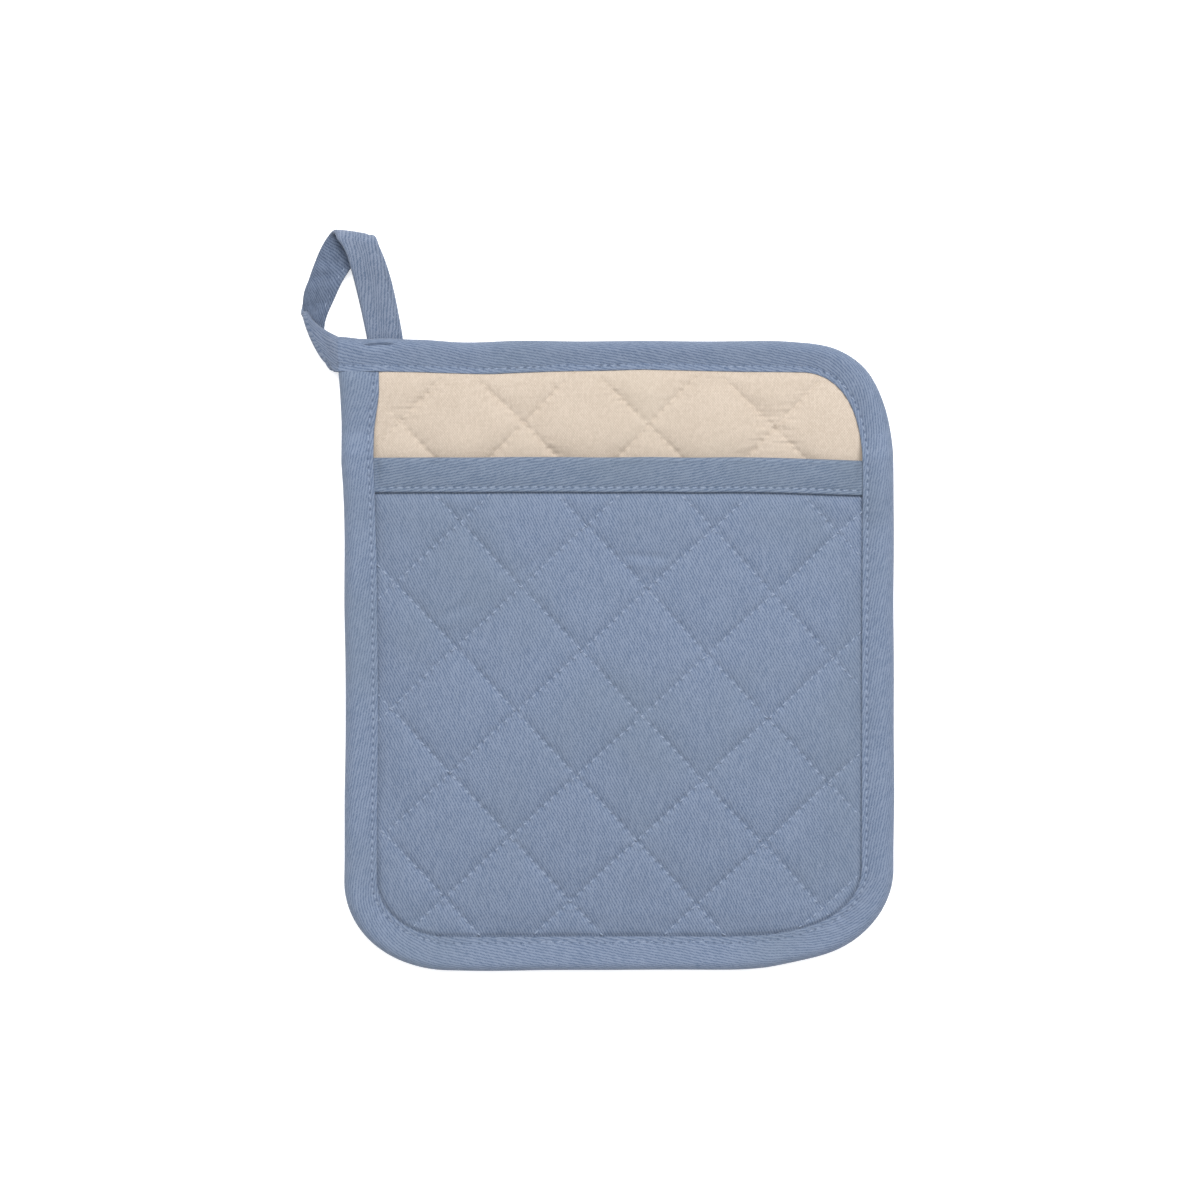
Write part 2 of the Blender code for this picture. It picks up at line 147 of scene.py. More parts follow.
def rim_inset(x, y):
    """How far points of the flat outline lie in from its edge."""
    inset = np.minimum(HALF_WIDTH - np.abs(x), HALF_LENGTH - np.abs(y))
    for corner in CORNERS:
        past_x = corner.side_x * x - (HALF_WIDTH - corner.radius_x)
        past_y = corner.side_y * y - (HALF_LENGTH - corner.radius_y)
        rounded = (past_x > 0) & (past_y > 0) & (corner.radius_x > 0)
        low = np.full(np.shape(x), -corner.radius_x)
        high = np.full(np.shape(x), min(corner.radius_x, corner.radius_y))
        for _ in range(30 if corner.radius_x else 0):
            middle = (low + high) / 2
            reach = np.hypot(past_x / (corner.radius_x - middle + 1e-9),
                             past_y / (corner.radius_y - middle + 1e-9))
            low = np.where(reach < 1, middle, low)
            high = np.where(reach < 1, high, middle)
        inset = np.where(rounded, low, inset)
    return inset


def lap_width(x, y):
    """How wide the binding is on the front, in the direction of each point."""
    direction = np.degrees(np.arctan2(y, x))
    return np.interp(direction, [lap.direction for lap in LAPS], [lap.width for lap in LAPS])


def swell_at_rim(x, y):
    """0 where the binding grips the pad and 1 where it has swollen out in full."""
    past = rim_inset(x, y) - lap_width(x, y)
    return np.interp(past, [row.past_strip for row in SWELLS], [row.share for row in SWELLS])


def parting(x, y):
    """How much the pads part over a point: nothing at the binding, and most near the mouth."""
    lap = lap_width(x, y)
    across, down = HALF_WIDTH - np.abs(x) - lap, HALF_LENGTH + y - lap
    for corner in CORNERS[1:3]:
        inner_x, inner_y = corner.radius_x - lap, corner.radius_y - lap
        past_x = corner.side_x * x - (HALF_WIDTH - corner.radius_x)
        past_y = corner.side_y * y - (HALF_LENGTH - corner.radius_y)
        round_x = inner_x * np.sqrt(1 - np.clip(past_y / inner_y, 0, 1) ** 2) - past_x
        round_y = inner_y * np.sqrt(1 - np.clip(past_x / inner_x, 0, 1) ** 2) - past_y
        across = np.where((past_y > 0) & (corner.side_x * x > 0), round_x, across)
        down = np.where(past_x > 0, round_y, down)
    from_sides = 1 - (1 - np.clip(across / PARTING_REACH, 0, 1)) ** SIDE_BEND
    from_end = 1 - (1 - np.clip(down / PARTING_REACH, 0, 1)) ** END_BEND
    return PARTING * from_sides * from_end


def plumpness(x, y):
    """How far the facing cloths swell: 0 where the pads press on each other, at the rim."""
    return np.clip(parting(x, y) / PRESSED_FLAT, 0, 1) * swell_at_rim(x, y)


def rim_crevice(x, y):
    """How deep the cloth dives under the binding's loose edge."""
    grown = ease((CREVICE_GROWS_BELOW - y) / CREVICE_GROWS_OVER)
    depth = EDGE_CREVICE * (LEAST_CREVICE + (1 - LEAST_CREVICE) * grown)
    return depth * bump(rim_inset(x, y) - lap_width(x, y), CREVICE_REACH)


def seam_places(quilt, x, y):
    """For each family of seams: how far along the seam, how far off it, and the spacing."""
    for number, seams in enumerate(quilt.families):
        angle = math.radians(seams.angle)
        from_x, from_y = x - quilt.cross_x, y - quilt.cross_y
        along = from_x * math.cos(angle) + from_y * math.sin(angle)
        across = from_y * math.cos(angle) - from_x * math.sin(angle)
        across = across + ripple(SEAM_WANDER, x, y, number)
        off = (across + seams.spacing / 2) % seams.spacing - seams.spacing / 2
        yield along, off, seams.spacing


def pillow(quilt, x, y):
    """The wadding's swell between the seams: 0 on a seam and 1 in a diamond's middle."""
    share = 1.0
    for _, off, spacing in seam_places(quilt, x, y):
        share = share * (1 - (1 - np.abs(off) / (spacing / 2)) ** PILLOW_LEVELNESS) ** PILLOW_SHARPNESS
    return share


def puckers(quilt, x, y, seed, pull):
    """What the stitches do to the cloth beside each seam, and its waves. The tighter the thread,
    the larger pull is."""
    height = 0.0
    for number, (along, off, _) in enumerate(seam_places(quilt, x, y)):
        at_hole = 0.5 + 0.5 * np.cos(2 * math.pi * along / QUILT_STITCH)
        needle = bump(off, NEEDLE_REACH) * at_hole ** 2
        needle = needle * (1 + ripple(NEEDLE_PULL, along, off, seed + number))
        groove = SEAM_GROOVE * bump(off, GROOVE_REACH)
        # From hole to hole the cloth puffs up on the seam's lower side.
        puff = PUFF_HEIGHT * (1 - at_hole) * bump(off + PUFF_OFF, PUFF_REACH)
        near = bump(off, PUCKERS_TO) - bump(off, PUCKERS_FROM)
        other_side = 40 * (off > 0)
        height = height + near * ripple(PUCKERS, along + other_side, off, seed + number)
        height = height + pull * (puff - groove - NEEDLE_DIP * needle)
    return height + ripple(SMALL_WAVES, x, y, seed) + ripple(BROAD_WAVES, x, y, seed)


def settle(x, y, z):
    """Move the tidy shape's points to where the used, hand-laid one has them."""
    stray = np.interp(y, [row.y for row in LEFT_STRAYS], [row.out for row in LEFT_STRAYS])
    given_x, given_y = x, y
    x = x - stray * ease((-given_x - LEFT_STRAYS_FROM) / LEFT_STRAYS_OVER)
    for push in RIM_PUSHES:
        near = np.exp(-((given_x - push.x) ** 2 + (given_y - push.y) ** 2) / push.reach ** 2)
        from_middle = math.hypot(push.x, push.y)
        x = x - push.inwards * near * push.x / from_middle
        y = y - push.inwards * near * push.y / from_middle
    near_mouth = 1 - ease(np.abs(y - MOUTH + BAND_LAP / 2) / MOUTH_EASE)
    y = y - MOUTH_DROOP * ease((x / HALF_WIDTH - DROOP_FROM) / DROOP_OVER) * near_mouth
    away = np.hypot(x - LIFT_X, y - LIFT_Y) - LIFT_FLAT
    z = z + LIFT_HEIGHT * (1 - ease(away / LIFT_FADE))
    return np.stack(np.broadcast_arrays(x, y, z), axis=-1)


def side_limits(y, inset):
    """The outline's left and right edge at each height, this far in."""
    limits = []
    for side in (-1, 1):
        edge = np.full(y.shape, HALF_WIDTH - inset)
        for corner in CORNERS:
            if corner.side_x == side and corner.radius_x:
                past = corner.side_y * y - (HALF_LENGTH - corner.radius_y)
                share = np.clip(past / (corner.radius_y - inset), 0, 1)
                round_x = (HALF_WIDTH - corner.radius_x
                           + (corner.radius_x - inset) * np.sqrt(1 - share ** 2))
                edge = np.where(past > 0, round_x, edge)
        limits.append(side * edge)
    return limits


SHARP_ANGLE = 62.0


def cloth_mesh(name, points, faces, flat, materials, face_material):
    """A finished piece at the origin. Its points come in millimetres, and its flat cut is its UV map."""
    mesh = bpy.data.meshes.new(name)
    mesh.from_pydata((np.asarray(points) * 0.001).tolist(), [], faces)
    for material in materials:
        mesh.materials.append(material)
    mesh.polygons.foreach_set("material_index", face_material)
    corner_points = np.zeros(len(mesh.loops), np.int32)
    mesh.loops.foreach_get("vertex_index", corner_points)
    cut = mesh.uv_layers.new(name="flat_cut")
    cut.data.foreach_set("uv", (np.asarray(flat)[corner_points] * 0.001).astype(np.float32).ravel())
    mesh.shade_smooth()
    mesh.set_sharp_from_angle(angle=math.radians(SHARP_ANGLE))
    mesh.validate()
    piece = bpy.data.objects.new(name, mesh)
    bpy.context.scene.collection.objects.link(piece)
    return piece


def quilted_pad(name, rows, columns, top, bottom, materials):
    """A closed pad on a grid that follows the outline, between two height functions.
    Its underside has one row and one column for every three of the top."""
    left, right = side_limits(rows, PAD_INSET)
    share = np.linspace(0, 1, columns)
    x = left[:, None] + (right - left)[:, None] * share
    y = np.repeat(rows[:, None], columns, axis=1)
    low_x, low_y = x[::3, ::3], y[::3, ::3]
    upper = settle(x, y, top(x, y)).reshape(-1, 3)
    lower = settle(low_x, low_y, bottom(low_x, low_y)).reshape(-1, 3)
    flat = np.concatenate([np.stack([x.ravel(), y.ravel()], axis=1),
                           np.stack([low_x.ravel(), low_y.ravel()], axis=1)])
    place = np.arange(x.size).reshape(x.shape)
    low_place = x.size + np.arange(low_x.size).reshape(low_x.shape)

    def quads(grid):
        return np.stack([grid[:-1, :-1], grid[:-1, 1:], grid[1:, 1:], grid[1:, :-1]], -1).reshape(-1, 4)

    def around(grid):
        return np.concatenate([grid[0, :], grid[1:, -1], grid[-1, -2::-1], grid[-2:0:-1, 0]])

    rim, low_rim = around(place), around(low_place)
    wall = np.stack([rim[::3], low_rim, np.roll(low_rim, -1), np.roll(rim, -3)[::3],
                     np.roll(rim, -2)[::3], np.roll(rim, -1)[::3]], axis=1)
    faces = quads(place).tolist() + quads(low_place)[:, ::-1].tolist() + wall.tolist()
    which = np.ones(len(faces), np.int32)
    which[:len(quads(place))] = 0
    return cloth_mesh(name, np.concatenate([upper, lower]), faces, flat, materials, which)


def linear(colour):
    """An sRGB hex colour as linear red, green, blue and full opacity."""
    parts = [int(colour[place:place + 2], 16) / 255 for place in (1, 3, 5)]
    return tuple(c / 12.92 if c <= 0.04045 else ((c + 0.055) / 1.055) ** 2.4 for c in parts) + (1.0,)


def add_node(tree, kind, inputs=(), **settings):
    """Add a node. Each input is given a value, or a socket or a node to be linked to. A node gives
    its first output in use."""
    made = tree.nodes.new(kind)
    for name, value in settings.items():
        setattr(made, name, value)
    for socket, value in dict(inputs).items():
        if isinstance(value, bpy.types.Node):
            value = next(output for output in value.outputs if output.enabled)
        if isinstance(value, bpy.types.NodeSocket):
            tree.links.new(value, made.inputs[socket])
        else:
            made.inputs[socket].default_value = value
    return made


MATH = "ShaderNodeMath"

# A weave: the spacing of its warp and weft threads in millimetres. Each warp thread passes over all
# but one weft thread in every repeat, one thread later than its neighbour.
Weave = namedtuple("Weave", "warp weft repeat")
PLAIN = Weave(0.46, 0.5, 2)
TWILL = Weave(0.275, 0.52, 4)

# A dyed cloth's colours: between its threads, on top of them, and where it has been washed greyer.
Dye = namedtuple("Dye", "low high washed")
NATURAL = Dye("#a69889", "#c1b4a6", "#b3a999")
BLUE = Dye("#53637c", "#788499", "#65717c")
# The colour of the painted shade in the needle's holes.
NEEDLE_HOLE_SHADE = "#2f3d55"
# How much of the way from low to high each thing shades: a float's own height, the unevenness of its
# thread and its own luck with the dye. Each goes with the level that keeps the cloth's middle shade.
HEIGHT_SHADE, THREAD_SHADE, SHADE_LEVEL, LUCK_SHADE = 1.7, 0.6, -1.08, 0.7


def woven_cotton(name, weave, dye, turn, mottle, relief, grain=1.0, needles=()):
    """A woven cloth, its warp turned this many degrees from the cut's length. mottle, relief and
    grain set how strong its clouds, its bumps and its threads' shading are. needles lists rows of
    needle holes, each painted dark as shade, with its place across the cut and its pitch, in millimetres."""
    material = bpy.data.materials.new(name)
    material.use_nodes = True
    tree = material.node_tree
    shader = tree.nodes["Principled BSDF"]
    shader.inputs["Roughness"].default_value = 0.88
    shader.inputs["Specular IOR Level"].default_value = 0.25
    shader.inputs["Sheen Weight"].default_value = 0.12
    shader.inputs["Sheen Roughness"].default_value = 0.5
    add = partial(add_node, tree)
    flat = add("ShaderNodeUVMap", uv_map="flat_cut")
    # Cloth is never quite square: its threads drift by about a third of a millimetre.
    drift = add("ShaderNodeTexNoise", {"Vector": flat, "Scale": 70.0, "Detail": 4.0, "Roughness": 0.6})
    offset = add("ShaderNodeVectorMath", {0: drift.outputs["Color"], 1: (0.5, 0.5, 0.5)},
                 operation="SUBTRACT")
    drifted = add("ShaderNodeVectorMath", {0: offset, 1: (0.0016, 0.0016, 0.0), 2: flat},
                  operation="MULTIPLY_ADD")
    threads = add("ShaderNodeMapping",
                  {"Vector": drifted, "Rotation": (0, 0, math.radians(turn)),
                   "Scale": (weave.warp * 0.001, weave.weft * 0.001, 1.0)}, vector_type="TEXTURE")
    parts = add("ShaderNodeSeparateXYZ", {0: threads}).outputs
    warp_number = add(MATH, {0: parts[0]}, operation="FLOOR")
    across_thread = add(MATH, {0: parts[0]}, operation="FRACT")
    past_neighbours = add(MATH, {0: warp_number, 1: parts[1]}, operation="ADD")
    along_thread = add(MATH, {0: past_neighbours, 1: float(weave.repeat)}, operation="DIVIDE")
    along_float = add(MATH, {0: along_thread}, operation="FRACT")
    # No two floats are spun and dyed quite alike.
    float_number = add(MATH, {0: along_thread}, operation="FLOOR")
    this_float = add("ShaderNodeCombineXYZ", {0: warp_number, 1: float_number})
    float_shade = add("ShaderNodeTexWhiteNoise", {"Vector": this_float},
                      noise_dimensions="2D").outputs["Value"]
    # A float lies high in its middle and dives at both ends, where the weft thread shows.
    arches = []
    for share in (along_float, across_thread):
        angle = add(MATH, {0: share, 1: math.pi}, operation="MULTIPLY")
        arches.append(add(MATH, {0: angle}, operation="SINE"))
    float_height = add(MATH, {0: arches[0], 1: 0.6}, operation="POWER")
    round_thread = add(MATH, {0: arches[1], 1: 0.35, 2: 0.65}, operation="MULTIPLY_ADD")
    height = add(MATH, {0: float_height, 1: round_thread}, operation="MULTIPLY")
    # Spun cotton is uneven: each thread has thick and thin stretches a few millimetres long.
    slubs = []
    for stretched, scale in (((1.0, 0.16, 1.0), 0.9), ((0.12, 1.0, 1.0), 0.8)):
        along_them = add("ShaderNodeMapping", {"Vector": threads, "Scale": stretched})
        slubs.append(add("ShaderNodeTexNoise", {"Vector": along_them, "Scale": scale, "Detail": 2.0}))
    uneven = add(MATH, {0: slubs[0], 1: slubs[1]}, operation="ADD")
    # Wear and washing leave faint clouds about 15 mm across.
    clouds = add("ShaderNodeTexNoise", {"Vector": flat, "Scale": 60.0, "Detail": 3.0})
    shade = add(MATH, {0: height, 1: HEIGHT_SHADE}, operation="MULTIPLY")
    for cause, share, level in ((uneven, THREAD_SHADE, SHADE_LEVEL),
                                (float_shade, LUCK_SHADE, -LUCK_SHADE / 2)):
        change = add(MATH, {0: cause, 1: share, 2: level}, operation="MULTIPLY_ADD")
        shade = add(MATH, {0: shade, 1: change}, operation="ADD")
    shade = add(MATH, {0: shade, 1: grain, 2: 0.5 - 0.5 * grain}, operation="MULTIPLY_ADD")
    change = add(MATH, {0: clouds, 1: 2 * mottle, 2: -mottle}, operation="MULTIPLY_ADD")
    shade = add(MATH, {0: shade, 1: change}, operation="ADD")
    base = add("ShaderNodeMix", {"Factor": shade, "A": linear(dye.low), "B": linear(dye.high)},
               data_type="RGBA")
    if dye.washed:
        # Dye and washing also leave patches, about 60 mm wide, of a slightly greyer hue.
        patches = add("ShaderNodeTexNoise", {"Vector": flat, "Scale": 16.0, "Detail": 2.0})
        amount = add("ShaderNodeMapRange", {"Value": patches, "From Min": 0.48, "From Max": 0.66,
                                            "To Max": 0.22})
        base = add("ShaderNodeMix", {"Factor": amount, "A": base, "B": linear(dye.washed)},
                   data_type="RGBA")
    for line, pitch in needles:
        # Painted shade in the needle's holes along a row of stitches, one at each end of a stitch.
        place = add("ShaderNodeSeparateXYZ", {0: flat}).outputs
        half = pitch * 0.001 / 2
        ahead = add(MATH, {0: place[0], 1: half}, operation="ADD")
        squares = []
        for side in (add(MATH, {0: ahead, 1: half}, operation="PINGPONG"),
                     add(MATH, {0: place[1], 1: -line * 0.001}, operation="ADD")):
            squares.append(add(MATH, {0: side, 1: side}, operation="MULTIPLY"))
        both = add(MATH, {0: squares[0], 1: squares[1]}, operation="ADD")
        away = add(MATH, {0: both}, operation="SQRT")
        hole = add("ShaderNodeMapRange", {"Value": away, "From Min": 0.0002, "From Max": 0.0007,
                                          "To Min": 0.75, "To Max": 0.0},
                   interpolation_type="SMOOTHSTEP")
        # The holes' painted shade comes and goes with the thread's slubs.
        hole_shade = add(MATH, {0: hole, 1: slubs[0]}, operation="MULTIPLY")
        base = add("ShaderNodeMix", {"Factor": hole_shade, "A": base, "B": linear(NEEDLE_HOLE_SHADE)},
                   data_type="RGBA")
    tree.links.new(base.outputs["Result"], shader.inputs["Base Color"])
    floats = add(MATH, {0: float_shade, 1: 0.4, 2: height}, operation="MULTIPLY_ADD")
    yarn = add(MATH, {0: uneven, 1: 0.5}, operation="MULTIPLY")
    bumps = add(MATH, {0: floats, 1: yarn}, operation="ADD")
    raised = add("ShaderNodeBump", {"Height": bumps, "Strength": relief, "Distance": 0.00014})
    tree.links.new(raised.outputs[0], shader.inputs["Normal"])
    return material


# Natural plain-woven cotton: undyed, with flecks and slubs that run along both threads.
natural_cotton = woven_cotton("natural_plain_cotton", PLAIN, NATURAL, 0.0, 0.2, 0.6, grain=0.5)
# Blue cotton twill, three threads over and one under: steep diagonal ridges 1 mm apart.
blue_twill = woven_cotton("blue_cotton_twill", TWILL, BLUE, 0.0, 0.12, 0.9)


# The loosely sewn natural cotton is creased in patches near its seams, where the pillows are low.
BACK_SEED, BACK_PULL = 11, 0.55
CREASE_SLANT, CREASED_FROM, CREASED_OVER, CREASED_SHARE = 0.3, 1.15, 1.4, 0.6


def back_inside(x, y):
    swelling = pillow(BACK_QUILT, x, y)
    soft = BACK_CROWN * swelling + puckers(BACK_QUILT, x, y, BACK_SEED, BACK_PULL)
    creased = ease(ripple(CREASED_PATCHES, x, y) + CREASED_SHARE)
    creased = creased * np.clip(CREASED_FROM - CREASED_OVER * swelling, 0, 1)
    creases = ripple(CREASES, x + CREASE_SLANT * y, y) * creased
    return BACK_EDGE_TOP + plumpness(x, y) * (soft + creases) - rim_crevice(x, y) * (y > MOUTH)


def back_outside(x, y):
    """The underside: flat on the table, with a hollow along each seam and a raised rim."""
    nearest = np.min([np.abs(off) for _, off, _ in seam_places(BACK_QUILT, x, y)], axis=0)
    hollow = BACK_SEAM_HOLLOW * np.clip(1 - nearest / HOLLOW_REACH, 0, 1) ** PILLOW_SHARPNESS
    swell = swell_at_rim(x, y)
    return BACK_EDGE_BOTTOM * (1 - swell) + hollow * swell


# The part above the pocket, which shows, has closer rows.
SHOWN_FROM, HIDDEN_ROWS, SHOWN_ROWS, BACK_COLUMNS = 64.0, 102, 110, 343
back_rows = np.concatenate([
    np.linspace(PAD_INSET - HALF_LENGTH, SHOWN_FROM, HIDDEN_ROWS),
    np.linspace(SHOWN_FROM, HALF_LENGTH - PAD_INSET, SHOWN_ROWS)[1:],
])
back_panel = quilted_pad("quilted_back_panel", back_rows, BACK_COLUMNS, back_inside, back_outside,
                         [natural_cotton, blue_twill])
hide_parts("back_panel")
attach(back_panel, "root")

# ================================================================ pocket panel
# A second quilted pad, laid on the back panel and caught in the binding on three sides.
# Blue twill outside, natural cotton inside, open at its top edge for the hand.
POCKET_QUILT = Quilt(10.2, 23.8, (Seams(-46.8, 32.5), Seams(42.9, 32.0)))
POCKET_EDGE_MIDDLE = 4.4
POCKET_EDGE_HALF = 0.9
POCKET_CROWN = 1.4
POCKET_SEED, POCKET_PULL = 21, 1.0
LINING_CROWN = 0.7
BANDED_HALF = 0.42
BANDED_RISE = 0.8
BAND_CREVICE = 1.0
LINING_LOWERED, LOWERED_REACH = 0.5, 2.5
POCKET_ROWS, POCKET_COLUMNS = 286, 301

# Three soft folds that the hand has left near the mouth, each as a short line on the flat pad. Each
# is a trough with a lower and wider ridge beside it, and fades out past the ends of its line.
Fold = namedtuple("Fold", "from_x from_y to_x to_y depth reach")
POCKET_FOLDS = (
    Fold(3.0, 36.2, 15.5, 35.6, 0.55, 1.5),
    Fold(-66.0, 13.5, -55.0, 18.5, 0.4, 1.9),
    Fold(-36.0, 30.0, -29.0, 36.0, 0.3, 1.6),
)
RIDGE_SHARE, RIDGE_OFF, RIDGE_WIDER = 0.55, 2.2, 1.3
FADE_PAST, FADE_OVER = 0.35, 0.5


def banded(y):
    """1 inside the mouth's band and 0 well below it."""
    return np.interp(MOUTH - y, (BAND_LAP + SWELLS[0].past_strip, MOUTH_EASE), (1.0, 0.0))


def swell_at_mouth(y):
    return np.interp(MOUTH - y - BAND_LAP, [row.past_strip for row in SWELLS],
                     [row.share for row in SWELLS])


def pocket_middle(x, y):
    """The height of the pocket's middle layer, which arches up over the hand's room."""
    return POCKET_EDGE_MIDDLE + BANDED_RISE * banded(y) + parting(x, y)


def pocket_half(y, soft):
    half = POCKET_EDGE_HALF + (BANDED_HALF - POCKET_EDGE_HALF) * banded(y)
    return half + soft * swell_at_mouth(y)


def folds(x, y):
    """How deep the pocket's soft folds are at each point."""
    depth = 0.0
    for fold in POCKET_FOLDS:
        run_x, run_y = fold.to_x - fold.from_x, fold.to_y - fold.from_y
        length = math.hypot(run_x, run_y)
        along = ((x - fold.from_x) * run_x + (y - fold.from_y) * run_y) / length ** 2
        across = ((y - fold.from_y) * run_x - (x - fold.from_x) * run_y) / length
        ends = ease((along + FADE_PAST) / FADE_OVER) * ease((1 + FADE_PAST - along) / FADE_OVER)
        trough = bump(across, fold.reach)
        ridge = RIDGE_SHARE * bump(across + RIDGE_OFF * fold.reach, RIDGE_WIDER * fold.reach)
        depth = depth + fold.depth * ends * (trough - ridge)
    return depth


def pocket_outside(x, y):
    soft = POCKET_CROWN * pillow(POCKET_QUILT, x, y) - folds(x, y)
    soft = soft + puckers(POCKET_QUILT, x, y, POCKET_SEED, POCKET_PULL)
    under_band = BAND_CREVICE * bump(MOUTH - BAND_LAP - y, CREVICE_REACH)
    crevice = np.maximum(rim_crevice(x, y), under_band)
    return pocket_middle(x, y) + pocket_half(y, soft * swell_at_rim(x, y)) - crevice


def pocket_lining(x, y):
    soft = LINING_CROWN * pillow(POCKET_QUILT, x, y)
    lowered = LINING_LOWERED * bump(MOUTH - BAND_LAP - y, LOWERED_REACH)
    return pocket_middle(x, y) - pocket_half(y, soft * plumpness(x, y)) - lowered


pocket_rows = np.linspace(PAD_INSET - HALF_LENGTH, MOUTH - PAD_INSET, POCKET_ROWS)
pocket_panel = quilted_pad("quilted_pocket_panel", pocket_rows, POCKET_COLUMNS, pocket_outside,
                           pocket_lining, [blue_twill, natural_cotton])
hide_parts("pocket_panel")
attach(pocket_panel, "root")

# ================================================================ pocket band
# A bias strip of the same twill, folded over the pocket's mouth edge and topstitched once.
# Cut on the bias, its diagonal ridges run almost along the strip.
BIAS = 51.0
BAND_BLUE = Dye("#506077", "#748092", "#65717c")
TOPSTITCH = 3.05
BAND_STRIP, BAND_STITCH_IN, BAND_HALF, BAND_ROUND = 28.0, 1.8, 2.15, 1.7
BAND_END_INSET, BAND_SECTIONS = 7.0, 245
BAND_PRESSED_FROM, PRESSED_OVER = 85.5, 2.5
BAND_WANDER = Ripple(0.16, 16, 5, 71)
BAND_WAVES = Ripple(0.14, 8, 5, 72)
# Both folded strips fall towards their stitches, and the loose edge past them turns up a little.
BAND_FALL, UNDER_FALLS, FALL_BEND = 1.2, 0.9, 1.8
STITCH_GROOVE, STITCH_REACH, HOLE_DEEPER = 0.3, 0.6, 0.35
LOOSE_EDGE_LIFT, LIFTED_AT, LIFTED_REACH = 0.12, 0.9, 0.6
EDGE_DROP, BAND_NEXT_DROP, BINDING_NEXT_DROP = 0.5, 0.15, 0.18
# The points of the band's section: along the flap from its loose edge, round the fold, which takes
# up the strip from BAND_FOLD_FROM to BAND_FOLD_TO, and on the inside, from the back flap's edge.
BAND_FLAP = np.array([0.0, 0.12, 0.5, 0.9, 1.35, 1.8, 2.3, 2.9, 3.6, 4.5, 5.6, 7.0, 8.4, 9.8, 11.0])
FOLD_TURN, BAND_FOLD_POINTS, BAND_FOLD_FROM, BAND_FOLD_TO = 80.0, 9, 12.2, 15.2
Inside = namedtuple("Inside", "below height place")
BAND_INSIDE = np.array([
    Inside(BAND_LAP - 0.2, -0.5, -28.0), Inside(6.0, -0.6, -21.0), Inside(1.2, -0.7, -15.0),
    Inside(1.2, 0.7, -13.0), Inside(6.0, 0.6, -6.0), Inside(BAND_LAP - 0.2, 0.5, 0.0),
])

# The same twill turned on the bias, a little duller than the pocket, with painted shade in the needle's
# holes.
band_twill = woven_cotton("blue_cotton_twill_on_the_bias", TWILL, BAND_BLUE, BIAS, 0.12, 0.8,
                          needles=((-BAND_STITCH_IN, TOPSTITCH),))


def folded_strip(name, rings, flat, materials, back_below=-math.inf):
    """Skin a row of closed rings of points and close both ends. Faces whose place across the
    strip is below back_below get the second material."""
    count, size = rings.shape[:2]
    place = np.arange(count * size).reshape(count, size)
    after = np.roll(place, -1, axis=1)
    quads = np.stack([place[:-1], after[:-1], after[1:], place[1:]], axis=-1).reshape(-1, 4)
    ends = [place[0][::-1].tolist(), place[-1].tolist()]
    across = flat.reshape(-1, 2)[quads][:, :, 1].mean(axis=1)
    which = np.concatenate([across < back_below, [False, False]]).astype(np.int32)
    return cloth_mesh(name, rings.reshape(-1, 3), quads.tolist() + ends, flat.reshape(-1, 2), materials,
                      which)


def flap_relief(from_edge, flat_part, stitch_in, fall, travel, bend=FALL_BEND):
    """The height of a strip's flap against its flat shape."""
    share = np.clip((from_edge - stitch_in) / (flat_part - stitch_in), 0, 1)
    at_hole = 1 - HOLE_DEEPER + HOLE_DEEPER * np.cos(2 * math.pi * (travel / TOPSTITCH - 0.5))
    groove = STITCH_GROOVE * at_hole * bump(from_edge - stitch_in, STITCH_REACH)
    lift = LOOSE_EDGE_LIFT * bump(from_edge - LIFTED_AT, LIFTED_REACH)
    return lift - groove - fall * (1 - share) ** bend


def edge_drop(points, next_to_edge):
    """How far the first points of a flap drop, where its loose edge is turned in."""
    return np.array([EDGE_DROP, next_to_edge] + [0.0] * (points - 2))


def band_ring(x):
    """One section across the band: its points and its flat place on the strip."""
    middle = float(pocket_middle(np.array(x), np.array(MOUTH)))
    fold = np.radians(np.linspace(FOLD_TURN, -FOLD_TURN, BAND_FOLD_POINTS))
    drop = edge_drop(len(BAND_FLAP), BAND_NEXT_DROP)
    waves = ripple(BAND_WAVES, np.full(len(BAND_FLAP), x), BAND_FLAP) * np.clip(BAND_FLAP / 3, 0, 1)
    # Its ends are pressed flat where the edge binding holds them.
    pressed = ease((abs(x) - BAND_PRESSED_FROM) / PRESSED_OVER)
    relief = flap_relief(BAND_FLAP, BAND_FLAP[-1], BAND_STITCH_IN, BAND_FALL, x) + waves
    top = BAND_HALF + relief * (1 - pressed) - BAND_FALL * pressed - drop
    under = drop - BAND_HALF + UNDER_FALLS * BAND_FALL * (1 - BAND_FLAP / BAND_FLAP[-1]) ** FALL_BEND
    rounded = np.sin(fold) * (BAND_HALF - BAND_FALL * pressed * (fold > 0))
    flap_below = BAND_LAP - BAND_FLAP
    below = np.concatenate([flap_below, BAND_ROUND * (1 - np.cos(fold)), flap_below[::-1],
                            BAND_INSIDE[:, 0]])
    height = np.concatenate([top, rounded, under[::-1], BAND_INSIDE[:, 1]])
    place = np.concatenate([-BAND_FLAP, -np.linspace(BAND_FOLD_FROM, BAND_FOLD_TO, BAND_FOLD_POINTS),
                            BAND_FLAP[::-1] - BAND_STRIP, BAND_INSIDE[:, 2]])
    mouth = MOUTH + ripple(BAND_WANDER, np.array(x), 0.0)
    points = settle(np.full(below.shape, x), mouth - below, middle + height)
    return points, np.stack([np.full(below.shape, x), place], axis=1)


band_end = HALF_WIDTH - BAND_END_INSET
band_places = np.linspace(-band_end, band_end, BAND_SECTIONS)
band_rings, band_flat = map(np.array, zip(*[band_ring(x) for x in band_places]))
pocket_band = folded_strip("pocket_mouth_band", band_rings, band_flat, [band_twill])
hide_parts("pocket_band")
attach(pocket_band, "root")

